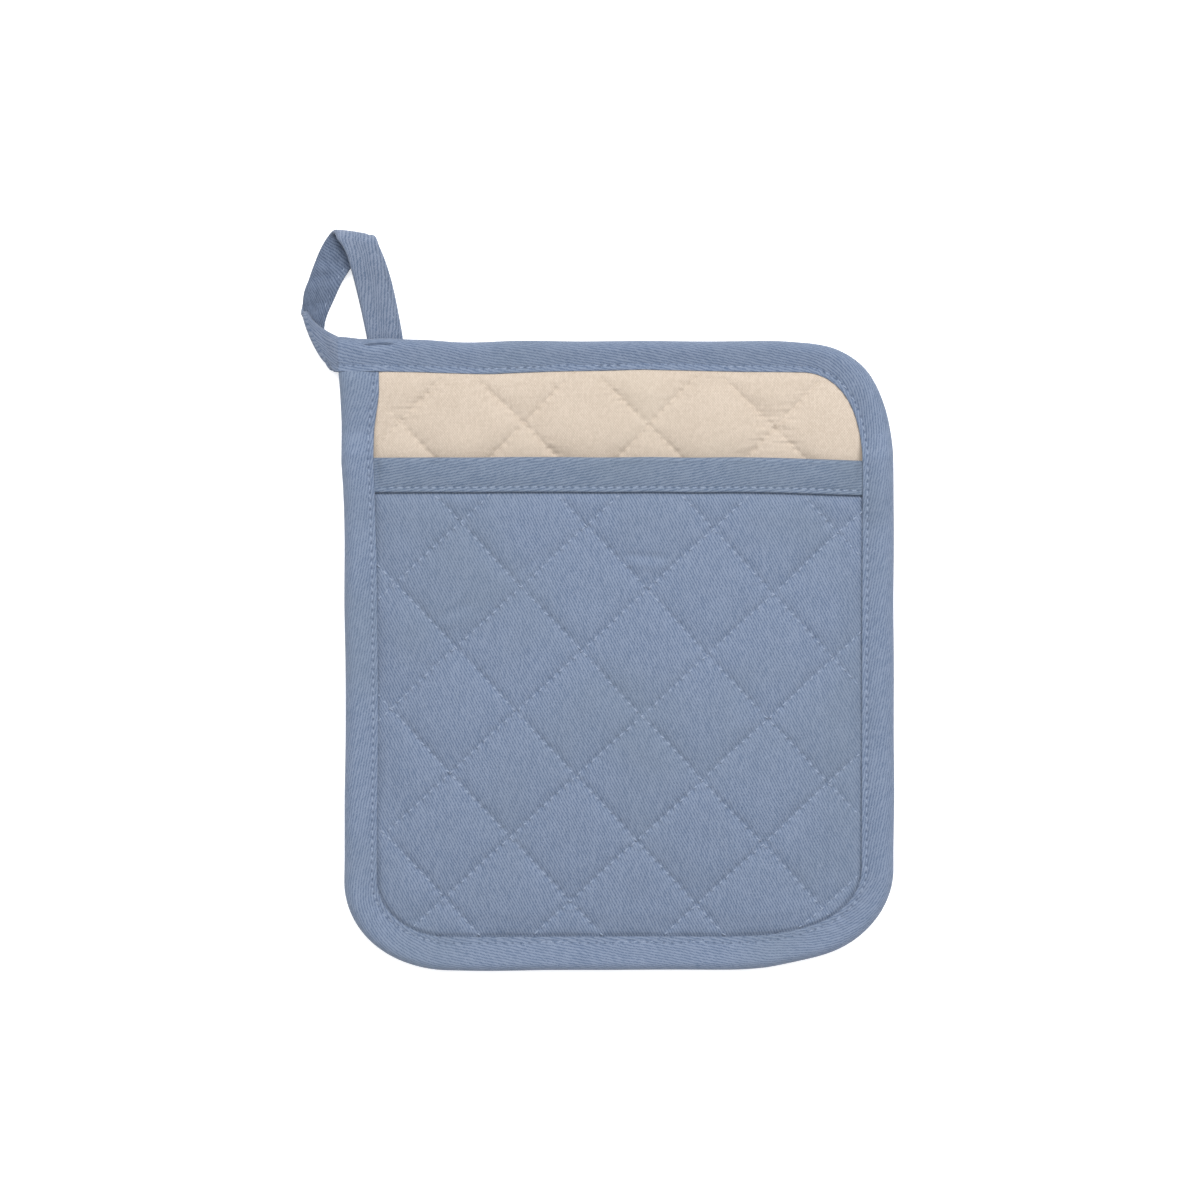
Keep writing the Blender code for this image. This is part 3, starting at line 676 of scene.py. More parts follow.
# ================================================================ edge binding
# One bias strip folded over the rim of both pads, with a row of topstitching through all layers.
# It starts at the square corner, goes down the left side and round, and comes back along the top.
STRIP_WIDTH, EDGE_STITCH_IN, STRIP_RISE = 31.0, 1.9, 1.85
STATION_STEP, START_DOWN = 0.76, 11.0
LAP_EDGE, LAP_MIDDLE = 12.0, 6.0
# The flap falls further towards its stitches, and more evenly, at the top and the bottom.
EDGE_FALL, ENDS_FALL_MORE, ENDS_BEND_LESS = 1.0, 0.8, 0.7
RIM_ROUND, RIM_CRISPER = 5.0, 2.0
# Near the square corner the left run widens from a height up, and the top run keeps its width.
LEFT_WIDER, WIDER_FROM, WIDER_OVER = 1.75, 80.0, 17.0
LEFT_KEEPS_FROM, TOP_KEEPS_FROM = 85.0, -88.0
# Where the binding climbs onto the pocket's band and comes down past its mouth.
BAND_STEP, MOUTH_CREST, MOUTH_FALL = 0.8, 1.2, 9.0
# A crease that the loop's end presses into the binding where it is tucked behind it.
CREASE_FROM, CREASE_TO, CREASE_FADE = -93.0, -79.5, 3.5
CREASE_INSET, CREASE_DEPTH, CREASE_REACH = 2.4, 1.4, 0.55
# The top run's end climbs towards the loop and lies over the left run's start.
CLIMB_FROM, CLIMB_HEIGHT = -88.5, 1.3
OVERLAP_FROM, OVERLAP_HEIGHT, OVERLAP_RISES_OVER = -84.0, 0.9, 5.0
# The left run's start is tucked down under it.
START_TUCKED, TUCK_REACH = 0.9, 1.8
# Gathers in the flap at the rounded corners, waves along it, and how the rim strays from its line.
GATHER_HEIGHT, GATHER_PITCH, RIM_REACH = 0.2, 4.6, 8.0
BINDING_WAVES = Ripple(0.16, 9, 6, 81)
RIM_WANDER = Ripple(0.25, 23, 5, 83)
# The points of the section: the flap's first ones from its loose edge, then more up to the turn.
EDGE_POINTS = [0.0, 0.1, 0.4, 0.9, 1.4, 1.9, 2.4, 2.9, 3.5]
MORE_FROM, MORE_POINTS, FOLD_POINTS, FOLD_SQUARENESS = 4.2, 5, 17, 0.85
# How thick the strip is at its loose edge, at the back and round the rim, and its back groove.
EDGE_LAYER, BACK_LAYER, RIM_LAYER = 0.25, 0.85, 1.25
BACK_GROOVE, BACK_GROOVE_REACH = 0.12, 0.5

# The pocket's own twill, cut on the bias, with painted shade in the needle's holes on both faces.
binding_twill = woven_cotton("blue_cotton_twill_binding", TWILL, BLUE, BIAS, 0.12, 0.8,
                             needles=((-EDGE_STITCH_IN, TOPSTITCH),
                                      (EDGE_STITCH_IN - STRIP_WIDTH, TOPSTITCH)))

Station = namedtuple("Station", "x y out_x out_y radius_x radius_y bend")


def binding_stations():
    """Places on the rim, from the square corner down the left side, round, and back along the top."""
    bottom_left, bottom_right, top_right = CORNERS[1:]
    step = STATION_STEP

    def side(start, stop, out_x, out_y):
        count = max(1, round(abs(stop - start) / step))
        for place in np.linspace(start, stop, count + 1)[1:]:
            x, y = (out_x * HALF_WIDTH, place) if out_x else (place, out_y * HALF_LENGTH)
            yield Station(x, y, out_x, out_y, 0.0, 0.0, 0.0)

    def turn(corner):
        middle = math.atan2(corner.side_y, corner.side_x)
        count = round((corner.radius_x + corner.radius_y) / 2 * math.pi / 2 / step)
        for number in range(1, count):
            angle = middle + (number / count - 0.5) * math.pi / 2
            yield Station(corner.side_x * (HALF_WIDTH - corner.radius_x),
                          corner.side_y * (HALF_LENGTH - corner.radius_y),
                          math.cos(angle), math.sin(angle), corner.radius_x, corner.radius_y,
                          math.sin(number / count * math.pi))

    yield from side(HALF_LENGTH - START_DOWN + step, bottom_left.radius_y - HALF_LENGTH, -1, 0)
    yield from turn(bottom_left)
    yield from side(bottom_left.radius_x - HALF_WIDTH - step, HALF_WIDTH - bottom_right.radius_x, 0, -1)
    yield from turn(bottom_right)
    yield from side(bottom_right.radius_y - HALF_LENGTH - step, HALF_LENGTH - top_right.radius_y, 1, 0)
    yield from turn(top_right)
    yield from side(HALF_WIDTH - top_right.radius_x + step, -HALF_WIDTH, 0, 1)


def rim_point(station, inset):
    """The point this far in from the rim on the flat outline."""
    return (station.x + station.out_x * (station.radius_x - inset),
            station.y + station.out_y * (station.radius_y - inset))


def strip_lap(station):
    """How much of the strip shows on the front here."""
    x, y = rim_point(station, LAP_EDGE)
    if station.out_y == 1:
        return float(lap_width(max(x, TOP_KEEPS_FROM), y))
    if station.out_x == -1:
        wider = LEFT_WIDER * ease((y - WIDER_FROM) / WIDER_OVER)
        return float(lap_width(x, min(y, LEFT_KEEPS_FROM))) + wider
    return float(lap_width(x, y))


def rim_round(station):
    """How far in the strip starts to turn over the rim: less along the top and the bottom."""
    return RIM_ROUND - RIM_CRISPER * abs(station.out_y)


def grip_height(station):
    """The height of what the binding grips at this station."""
    _, y = rim_point(station, LAP_MIDDLE)
    pocket = POCKET_EDGE_MIDDLE + POCKET_EDGE_HALF
    band = POCKET_EDGE_MIDDLE + BANDED_RISE + BAND_HALF - BAND_FALL
    grip = np.interp(y - MOUTH, (-MOUTH_EASE, -BAND_LAP - BAND_STEP, MOUTH_CREST, MOUTH_FALL),
                     (pocket, band, band, BACK_EDGE_TOP))
    if station.out_y == 1:
        grip = grip + OVERLAP_HEIGHT * ease((OVERLAP_FROM - station.x) / OVERLAP_RISES_OVER)
    return grip


def binding_front(station, travel, from_edge):
    """The flap's upper surface at distances from its inner edge: insets and heights."""
    lap = strip_lap(station)
    fall = EDGE_FALL + ENDS_FALL_MORE * abs(station.out_y)
    bend = FALL_BEND - ENDS_BEND_LESS * abs(station.out_y)
    relief = flap_relief(from_edge, lap - rim_round(station), EDGE_STITCH_IN, fall, travel, bend)
    gathers = station.bend * GATHER_HEIGHT * np.cos(2 * math.pi * travel / GATHER_PITCH)
    gathers = gathers * ease(1 - from_edge / RIM_REACH)
    waves = ripple(BINDING_WAVES, np.full(from_edge.shape, travel), from_edge)
    tucked = START_TUCKED * bump(travel, TUCK_REACH)
    return lap - from_edge, grip_height(station) + STRIP_RISE + relief + gathers + waves - tucked


def binding_place(station, travel, inset, height):
    """Where a point of the strip's section comes to lie."""
    wander = ripple(RIM_WANDER, np.array(travel), 0.0)
    near_rim = ease((RIM_REACH - inset) / RIM_REACH)
    x, y = rim_point(station, inset - wander * near_rim)
    if station.out_y == 1:
        y = y + CLIMB_HEIGHT * ease((CLIMB_FROM - station.x) / (CLIMB_FROM + HALF_WIDTH)) * near_rim
        crease = ease((station.x - CREASE_FROM) / CREASE_FADE) * ease((CREASE_TO - station.x) / CREASE_FADE)
        crease = crease * CREASE_DEPTH * bump(inset - CREASE_INSET, CREASE_REACH)
        upper = height > (grip_height(station) + STRIP_RISE) / 2
        height = height - upper * crease
    return settle(x, y, height)


def binding_ring(station, travel):
    """One section across the binding: its points and its flat place on the strip."""
    lap = strip_lap(station)
    turned = rim_round(station)
    grip = grip_height(station)
    total = grip + STRIP_RISE
    from_edge = np.append(EDGE_POINTS, np.linspace(MORE_FROM, lap - turned, MORE_POINTS))
    drop = edge_drop(len(from_edge), BINDING_NEXT_DROP)
    inset, height = binding_front(station, travel, from_edge)
    height = height - drop
    fold = np.radians(np.linspace(FOLD_TURN, -FOLD_TURN, FOLD_POINTS))
    swing = np.abs(np.cos(fold)) ** FOLD_SQUARENESS
    rise = np.sign(np.sin(fold)) * np.abs(np.sin(fold)) ** FOLD_SQUARENESS
    rim_height = total / 2 * (1 + rise) + (height[-1] - total) * ease(np.sin(fold))
    back_height = BACK_GROOVE * bump(from_edge - EDGE_STITCH_IN, BACK_GROOVE_REACH) + drop
    half_way = (lap - turned, STRIP_WIDTH - lap + turned)
    # The inside of the fold, each point with its inset and its height, from back to front.
    inside = np.array([(lap - EDGE_LAYER, BACK_LAYER), (lap - 5, BACK_LAYER), (3.0, BACK_LAYER),
                       (RIM_LAYER, BACK_LAYER + 0.7), (RIM_LAYER, grip - 0.3), (3.0, grip + 0.2),
                       (lap - 5, grip + 0.15), (lap - EDGE_LAYER, grip + 0.12)])
    insets = np.concatenate([inset, turned * (1 - swing), lap - from_edge[::-1], inside[:, 0]])
    heights = np.concatenate([height, rim_height, back_height[::-1], inside[:, 1]])
    place = np.concatenate([-from_edge, -np.linspace(*half_way, FOLD_POINTS + 2)[1:-1],
                            from_edge[::-1] - STRIP_WIDTH, np.linspace(-STRIP_WIDTH, 0, len(inside))])
    return (binding_place(station, travel, insets, heights),
            np.stack([np.full(insets.shape, travel), place], axis=1))


def travelled(stations):
    """How far along the strip each station is, measured along the flap's middle."""
    line = np.array([rim_point(station, LAP_MIDDLE) for station in stations])
    return np.concatenate([[0.0], np.cumsum(np.linalg.norm(np.diff(line, axis=0), axis=1))])


stations = list(binding_stations())
travel = travelled(stations)
binding_rings, binding_flat = map(np.array, zip(*[
    binding_ring(station, place) for station, place in zip(stations, travel)]))
edge_binding = folded_strip("edge_binding_strip", binding_rings, binding_flat, [binding_twill])
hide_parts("edge_binding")
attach(edge_binding, "root")

# ================================================================ hanging loop
# The binding's tail, sewn closed into a flat tape: folded under at the corner, run up,
# rolled over at the top and brought down again, with its end tucked behind the binding.
TAPE_WIDTH, TAPE_THICKNESS = 12.0, 1.9
LOOP_BLUE = Dye("#526178", "#778194", None)
# Darker colours for the tape's other face: painted shade.
LOOP_PAINTED_SHADE_BLUE = Dye("#424f65", "#647085", None)
LOOP_WAVES = Ripple(0.16, 6, 6, 91)
# The bias twill again, dulled by handling.
loop_twill = woven_cotton("blue_cotton_twill_loop", TWILL, LOOP_BLUE, BIAS, 0.12, 0.8)
# The tape's other face, which lies uppermost on the rising leg, is a darker copy of the same twill: painted
# shade on that leg.
loop_twill_painted_shade = woven_cotton("blue_cotton_twill_loop_painted_shade", TWILL, LOOP_PAINTED_SHADE_BLUE, -BIAS, 0.16, 0.9)

# Each row gives the tape's outer and inner edge. A turn rolls it over on the line between them:
# its edges drift along that line as they go round, and the line itself bows out.
Section = namedtuple("Section", "outer_x outer_y outer_z inner_x inner_y inner_z")
Turn = namedtuple("Turn", "outer_x outer_y inner_x inner_y z_in z_out drift_in drift_out bow")
TAPE = (
    Section(-104.2, 117.0, 4.7, -102.3, 102.9, 4.9),
    Section(-108.0, 119.2, 4.3, -103.0, 102.9, 4.5),
    Section(-111.4, 122.1, 3.9, -103.4, 103.1, 4.1),
    Turn(-115.2, 124.6, -104.4, 103.1, 3.6, 1.2, 0.5, 3.4, 1.5),
    Section(-114.4, 131.6, 1.0, -107.7, 117.4, 2.2),
    Section(-113.5, 134.4, 1.1, -105.5, 124.6, 3.2),
    Section(-111.9, 138.6, 1.4, -102.0, 132.2, 4.0),
    Section(-110.3, 143.2, 1.9, -98.4, 139.5, 3.4),
    Section(-108.4, 147.7, 2.1, -94.2, 144.4, 2.8),
    Turn(-103.5, 154.7, -88.3, 152.5, 2.4, 8.0, 2.3, 2.1, 0.3),
    Section(-99.2, 147.4, 8.0, -85.3, 145.2, 7.7),
    Section(-97.3, 141.2, 7.0, -83.8, 141.0, 6.8),
    Section(-95.4, 133.6, 5.0, -81.8, 134.0, 4.9),
    Section(-93.4, 124.9, 2.9, -80.1, 125.3, 2.9),
    Section(-91.7, 116.4, 1.3, -78.5, 116.6, 1.3),
    Section(-90.4, 110.4, 0.98, -77.9, 111.1, 0.98),
    Section(-88.9, 103.1, 0.98, -76.6, 103.8, 0.98),
)
TURN_STEPS = 10
OPENING_OUT, SEAM_GAP, ABOVE_TABLE = 5.0, 0.02, 0.02
# Soft creases across the rising leg, each a trough with a ridge beside it: its height up the pot
# holder on the leg's middle line, its slant, and how deep and wide it is.
LEG_MIDDLE, LEG_RIDGE, LEG_RIDGE_OFF, LEAST_DEPTH = -107.0, 0.5, 1.9, 0.2
Crease = namedtuple("Crease", "y slant depth reach")
LEG_CREASES = (Crease(137.5, 0.2, 1.5, 1.7), Crease(128.0, 0.35, 1.4, 1.8), Crease(143.0, -0.2, 0.8, 1.5))


def turn_edges(turn):
    """The tape's two edges and its bow round a turn, half way round on the given line."""
    outer = np.array([turn.outer_x, turn.outer_y, 0.0])
    inner = np.array([turn.inner_x, turn.inner_y, 0.0])
    along = (inner - outer) / np.linalg.norm(inner - outer)
    inwards = np.array([-along[1], along[0], 0.0]) * (1 if along[1] < -0.5 else -1)
    drift_way = -along if turn.z_in > turn.z_out else along
    radius = abs(turn.z_out - turn.z_in) / 2
    middle = (turn.z_out + turn.z_in) / 2
    way = 1 if turn.z_in > turn.z_out else -1
    for step in range(TURN_STEPS + 1):
        angle = math.pi * step / TURN_STEPS
        back = inwards * (TAPE_THICKNESS / 2 + radius * (1 - math.sin(angle)))
        up = np.array([0.0, 0.0, middle + way * radius * math.cos(angle)])
        past = step / TURN_STEPS * 2 - 1
        drift = drift_way * past * (turn.drift_in if past < 0 else turn.drift_out)
        yield np.concatenate([outer + back + up + drift, inner + back + up + drift, -inwards * turn.bow])


def smoothed(line, rounds):
    """Put more points on a line, on the smooth curve through the ones it has."""
    for _ in range(rounds):
        padded_line = np.concatenate([2 * line[:1] - line[1:2], line, 2 * line[-1:] - line[-2:-1]])
        between = (9 * (line[:-1] + line[1:]) - padded_line[:-3] - padded_line[3:]) / 16
        joined = np.empty((len(line) * 2 - 1, line.shape[1]))
        joined[0::2], joined[1::2] = line, between
        line = joined
    return line


def softened(line, rounds):
    """Round off the kinks of a line without moving its ends."""
    for _ in range(rounds):
        line = np.concatenate([line[:1], (line[:-2] + 2 * line[1:-1] + line[2:]) / 4, line[-1:]])
    return line


# The tape leaves the binding with the binding's own end section and closes up on the way.
end_ring = binding_rings[-1]
end_low, end_high = end_ring[:, 1].min(), end_ring[:, 1].max()
end_middle = (end_ring[:, 2].min() + end_ring[:, 2].max()) / 2
end_share = (end_ring[:, 1] - end_low) / (end_high - end_low)
end_height = end_ring[:, 2] - end_middle
end_ahead = end_ring[:, 0] - end_ring[:, 0].min()

start_x = end_ring[:, 0].min() - SEAM_GAP
tape_edges = [np.array([start_x, end_high, end_middle, start_x, end_low, end_middle, 0.0, 0.0, 0.0])]
for row in TAPE:
    if isinstance(row, Turn):
        tape_edges += list(turn_edges(row))
    else:
        tape_edges.append(np.array(list(row) + [0.0, 0.0, 0.0]))
tape_edges = softened(smoothed(np.array(tape_edges), 2), 6)
outer_edge, inner_edge, bow = tape_edges[:, :3], tape_edges[:, 3:6], tape_edges[:, 6:]
tape_middle = (outer_edge + inner_edge) / 2
tape_run = np.gradient(tape_middle + bow / 2, axis=0)
tape_out = np.cross(tape_run, inner_edge - outer_edge)
tape_out /= np.linalg.norm(tape_out, axis=1)[:, None]
tape_travel = travel[-1] + np.concatenate(
    [[0.0], np.cumsum(np.linalg.norm(np.diff(tape_middle, axis=0), axis=1))])

# Round the tape's section, in the same order as the binding's: front, fold, back, and the slit inside.
flap_share = np.append(EDGE_POINTS, np.linspace(4.4, 7.6, MORE_POINTS)) / TAPE_WIDTH
fold_share = np.array([0.72, 0.79, 0.86, 0.91, 0.95, 0.975, 0.99, 0.998])
slit = np.array([0.02, 0.3, 0.6, 0.93])
section_share = np.concatenate([flap_share, fold_share, [1.0], fold_share[::-1], flap_share[::-1],
                                slit, slit[::-1]])
# The tape is rounded at its open edge and more at its fold, and thinner along its stitches.
OPEN_EDGE_ROUND, FOLD_ROUND, LEAST_ROUND = 0.055, 0.07, 0.25
SEWN_THINNER, SEWN_REACH, SLIT_HALF = 0.3, 0.045, 0.12
to_edge = np.minimum(section_share / OPEN_EDGE_ROUND, (1 - section_share) / FOLD_ROUND)
roundness = np.maximum(np.sqrt(1 - (1 - np.clip(to_edge, 0, 1)) ** 2), LEAST_ROUND)
sewn_in = 1 - SEWN_THINNER * bump(section_share - EDGE_STITCH_IN / TAPE_WIDTH, SEWN_REACH)
upper_face = np.ones(len(flap_share) + len(fold_share))
upper_slit = np.full(len(slit), SLIT_HALF)
face = np.concatenate([upper_face, [0.0], -upper_face, -upper_slit, upper_slit])
tape_half = TAPE_THICKNESS / 2 * face * np.where(np.abs(face) < 0.5, 1.0, roundness * sewn_in)
falling = np.argmax(outer_edge[:, 1])
rings = []
for index, (outer, inner, out) in enumerate(zip(outer_edge, inner_edge, tape_out)):
    closed = ease((tape_travel[index] - travel[-1]) / OPENING_OUT)
    share = end_share + (section_share - end_share) * closed
    out = out * closed + np.array([0.0, 0.0, 1.0]) * (1 - closed)
    out = out / np.linalg.norm(out)
    waves = ripple(LOOP_WAVES, np.full(share.shape, tape_travel[index]), section_share * TAPE_WIDTH)
    thick = end_height + (tape_half - end_height + waves) * closed
    bowed = 4 * share * (1 - share)
    line = inner + share[:, None] * (outer - inner) + bowed[:, None] * bow[index]
    line[:, 0] += end_ahead * (1 - closed)
    if out[2] < 0 and index < falling:
        for crease in LEG_CREASES:
            off = line[:, 1] - crease.y - crease.slant * (line[:, 0] - LEG_MIDDLE)
            trough = bump(off, crease.reach)
            trough = trough - LEG_RIDGE * bump(off + LEG_RIDGE_OFF * crease.reach, crease.reach)
            thick = thick + crease.depth * trough * (LEAST_DEPTH + (1 - LEAST_DEPTH) * bowed)
    rings.append(line + thick[:, None] * out)
rings = np.array(rings)
rings[:, :, 2] = np.maximum(rings[:, :, 2], ABOVE_TABLE)
loop_flat = np.repeat(binding_flat[-1:], len(rings), axis=0)
loop_flat[:, :, 0] = tape_travel[:, None]
hanging_loop = folded_strip("hanging_loop_tape", rings, loop_flat, [loop_twill, loop_twill_painted_shade],
                            -STRIP_WIDTH / 2)
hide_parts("hanging_loop")
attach(hanging_loop, "root")

# ================================================================ quilting and topstitching
# Cotton sewing thread, in lockstitch: on each face a short straight float from needle hole
# to needle hole, pulled down into the cloth at both ends.
SHORTEST_STITCH, OTHER_SEED = 0.55, 50.0
SEAM_COUNT, HOLE_COUNT, WANDER_ROUNDS = 8, 70, 3
# The quilting runs on this far under the binding and the band.
QUILTED_UNDER = 1.2
BAND_STITCHED_TO, LOOP_UNSTITCHED = 87.0, 1.0


def stitch_maker():
    """A tree that lays one stitch of thread along each edge of a path."""
    tree = bpy.data.node_groups.new("stitches", "GeometryNodeTree")
    face = tree.interface
    face.new_socket("Path", in_out="INPUT", socket_type="NodeSocketGeometry")
    for name in ("Thread width", "Thread height", "Share of pitch", "Slant", "Unevenness"):
        face.new_socket(name, in_out="INPUT", socket_type="NodeSocketFloat")
    face.new_socket("Seed", in_out="INPUT", socket_type="NodeSocketInt")
    face.new_socket("Thread", in_out="INPUT", socket_type="NodeSocketMaterial")
    face.new_socket("Stitches", in_out="OUTPUT", socket_type="NodeSocketGeometry")
    add = partial(add_node, tree)
    given = add("NodeGroupInput").outputs
    ends = add("GeometryNodeInputMeshEdgeVertices").outputs
    # Each edge keeps its run and the cloth's upward direction, and they go on to its point.
    run = add("ShaderNodeVectorMath", {0: ends["Position 2"], 1: ends["Position 1"]},
              operation="SUBTRACT")
    up = add("GeometryNodeInputNamedAttribute", {"Name": "cloth_up"}, data_type="FLOAT_VECTOR")
    path = given["Path"]
    for name, value in (("stitch_run", run), ("stitch_up", up)):
        path = add("GeometryNodeStoreNamedAttribute", {"Geometry": path, "Name": name, "Value": value},
                   data_type="FLOAT_VECTOR", domain="EDGE")
    points = add("GeometryNodeMeshToPoints", {"Mesh": path}, mode="EDGES")
    run_there, up_there = [
        add("GeometryNodeInputNamedAttribute", {"Name": name}, data_type="FLOAT_VECTOR")
        for name in ("stitch_run", "stitch_up")]
    length = add("ShaderNodeVectorMath", {0: run_there}, operation="LENGTH")
    along = add("FunctionNodeAlignRotationToVector", {"Vector": run_there}, axis="X")
    upright = add("FunctionNodeAlignRotationToVector", {"Rotation": along, "Vector": up_there},
                  axis="Z", pivot_axis="X")
    # Hand-guided sewing: each stitch lies a little askew, and some are shorter than others.
    askew = add("FunctionNodeRandomValue", {2: -1.0, 3: 1.0, "Seed": given["Seed"]}, data_type="FLOAT")
    slant = add(MATH, {0: askew, 1: given["Unevenness"], 2: given["Slant"]}, operation="MULTIPLY_ADD")
    other = add(MATH, {0: given["Seed"], 1: OTHER_SEED}, operation="ADD")
    shorter = add("FunctionNodeRandomValue", {2: SHORTEST_STITCH, 3: 1.0, "Seed": other},
                  data_type="FLOAT")
    lean = add("ShaderNodeCombineXYZ", {2: slant})
    turned = add("FunctionNodeRotateRotation", {"Rotation": upright, "Rotate By": lean},
                 rotation_space="LOCAL")
    thread = add("GeometryNodeMeshUVSphere", {"Segments": 6, "Rings": 6, "Radius": 0.5})
    share = add(MATH, {0: given["Share of pitch"], 1: shorter}, operation="MULTIPLY")
    stretch = add(MATH, {0: length, 1: share}, operation="MULTIPLY")
    size = add("ShaderNodeCombineXYZ",
               {0: stretch, 1: given["Thread width"], 2: given["Thread height"]})
    laid = add("GeometryNodeInstanceOnPoints",
               {"Points": points, "Instance": thread, "Rotation": turned, "Scale": size})
    real = add("GeometryNodeRealizeInstances", {"Geometry": laid})
    shaded = add("GeometryNodeSetMaterial", {"Geometry": real, "Material": given["Thread"]})
    smooth = add("GeometryNodeSetShadeSmooth", {"Geometry": shaded})
    add("NodeGroupOutput", {0: smooth})
    return tree


def cotton_thread(name, colour, shadow):
    """Spun and twisted cotton thread: soft, hardly glossy, a little darker between its plies."""
    material = bpy.data.materials.new(name)
    material.use_nodes = True
    tree = material.node_tree
    shader = tree.nodes["Principled BSDF"]
    shader.inputs["Roughness"].default_value = 0.7
    shader.inputs["Sheen Weight"].default_value = 0.15
    place = add_node(tree, "ShaderNodeTexCoord").outputs["Object"]
    plies = add_node(tree, "ShaderNodeTexWave", {"Vector": place, "Scale": 900.0, "Distortion": 3.0},
                     bands_direction="DIAGONAL")
    twisted = add_node(tree, "ShaderNodeMix", {"Factor": plies.outputs["Fac"], "A": linear(shadow),
                                               "B": linear(colour)}, data_type="RGBA")
    tree.links.new(twisted.outputs["Result"], shader.inputs["Base Color"])
    raised = add_node(tree, "ShaderNodeBump", {"Height": plies.outputs["Fac"], "Strength": 0.4,
                                               "Distance": 0.00005})
    tree.links.new(raised.outputs[0], shader.inputs["Normal"])
    return material


# Blue cotton thread, paler than the twill it is sewn through.
blue_thread = cotton_thread("blue_cotton_thread", "#8794a9", "#737f95")
# Undyed cotton thread, on the faces of natural cotton.
natural_thread = cotton_thread("natural_cotton_thread", "#c8bbab", "#ab9d8d")
stitch_tree = stitch_maker()


# A row of stitches: the paths it runs along, its thread with its width and height in millimetres,
# the share of each pitch that the thread covers, and how far it slants and varies in degrees.
Stitches = namedtuple("Stitches", "name paths slot thread width height share slant unevenness")


def sew(row, seed):
    """Lay stitches along paths, each a list of (needle hole, up) rows in millimetres."""
    holes, ups, edges = [], [], []
    for path in row.paths:
        edges += [(len(holes) + step, len(holes) + step + 1) for step in range(len(path) - 1)]
        holes += [hole * 0.001 for hole, _ in path]
        ups += [up for _, up in path]
    mesh = bpy.data.meshes.new(row.name)
    mesh.from_pydata([tuple(hole) for hole in holes], edges, [])
    attribute = mesh.attributes.new("cloth_up", "FLOAT_VECTOR", "POINT")
    attribute.data.foreach_set("vector", np.array(ups, np.float32).ravel())
    piece = bpy.data.objects.new(row.name, mesh)
    bpy.context.scene.collection.objects.link(piece)
    maker = piece.modifiers.new("stitches", "NODES")
    maker.node_group = stitch_tree
    values = {"Thread width": row.width * 0.001, "Thread height": row.height * 0.001,
              "Share of pitch": row.share, "Slant": math.radians(row.slant),
              "Unevenness": math.radians(row.unevenness), "Seed": seed, "Thread": row.thread}
    for socket in stitch_tree.interface.items_tree:
        if socket.name in values:
            maker[socket.identifier] = values[socket.name]
    bpy.context.view_layer.update()
    evaluated = piece.evaluated_get(bpy.context.evaluated_depsgraph_get())
    plain = bpy.data.meshes.new_from_object(evaluated)
    piece.modifiers.remove(maker)
    piece.data = plain
    plain.name = row.name
    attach(piece, "root")


def seam_paths(quilt, surface, inside, facing, lift):
    """The needle holes of every quilting seam inside an outline, on one face of a pad."""
    paths = []
    for number, seams in enumerate(quilt.families):
        angle = math.radians(seams.angle)
        run = np.array([math.cos(angle), math.sin(angle)])
        aside = np.array([-run[1], run[0]])
        for seam in range(-SEAM_COUNT, SEAM_COUNT + 1):
            along = np.arange(-HOLE_COUNT, HOLE_COUNT + 1) * QUILT_STITCH
            wander = np.zeros(along.shape)
            for _ in range(WANDER_ROUNDS + 1):
                flat = (np.array([quilt.cross_x, quilt.cross_y])
                        + (seam * seams.spacing - wander)[:, None] * aside + along[:, None] * run)
                wander = ripple(SEAM_WANDER, flat[:, 0], flat[:, 1], number)
            kept = inside(flat[:, 0], flat[:, 1])
            # A stitch lies on the cloth between its holes, where no needle has pulled it down.
            between = (flat[:-1] + flat[1:]) / 2
            level = surface(between[:, 0], between[:, 1])
            level = (np.append(level, level[-1]) + np.append(level[0], level)) / 2
            points = settle(flat[:, 0], flat[:, 1], level) + np.array([0.0, 0.0, lift * facing])
            path = []
            for point, keep in zip(points, kept):
                if keep:
                    path.append((point, (0.0, 0.0, facing)))
                else:
                    paths.append(path)
                    path = []
            paths.append(path)
    return [path for path in paths if len(path) > 1]


def in_back(x, y):
    return rim_inset(x, y) > lap_width(x, y) - QUILTED_UNDER


def in_pocket(x, y):
    return in_back(x, y) & (y < MOUTH - BAND_LAP + QUILTED_UNDER)


def strip_seams(sections, places, first, last, points, facing, lifts):
    """Needle holes along a strip's front and back, each section at its own place on the strip."""
    for point, face, lift in zip(points, (1, -1), lifts):
        path = []
        for place in np.arange(first, last, TOPSTITCH):
            hole = np.array([np.interp(place, places, sections[:, point, axis]) for axis in range(3)])
            up = face * np.array([np.interp(place, places, facing[:, axis]) for axis in range(3)])
            path.append((hole + lift * up, tuple(up)))
        yield path


# Every strip has its stitches on the same point of its section, and on the point behind it.
HOLES_AT = 5
BEHIND = 2 * (len(EDGE_POINTS) + MORE_POINTS) + FOLD_POINTS - 1 - HOLES_AT
BAND_BEHIND = 2 * len(BAND_FLAP) + BAND_FOLD_POINTS - 1 - HOLES_AT
upwards = np.repeat([[0.0, 0.0, 1.0]], len(binding_rings), axis=0)
binding_front_seam, binding_back_seam = strip_seams(
    binding_rings, travel, TOPSTITCH / 2, travel[-1], (HOLES_AT, BEHIND), upwards, (0.14, -0.12))
first_in_band = TOPSTITCH * (math.ceil(-BAND_STITCHED_TO / TOPSTITCH) + 0.5)
band_seams = list(strip_seams(
    band_rings, band_places, first_in_band, BAND_STITCHED_TO, (HOLES_AT, BAND_BEHIND),
    upwards[:BAND_SECTIONS], (0.14, 0.1)))
first_in_loop = TOPSTITCH * (math.ceil(travel[-1] / TOPSTITCH - 0.5) + 0.5)
loop_seams = list(strip_seams(
    rings, tape_travel, first_in_loop, tape_travel[-1] - LOOP_UNSTITCHED, (HOLES_AT, BEHIND),
    tape_out, (-0.1, -0.1)))

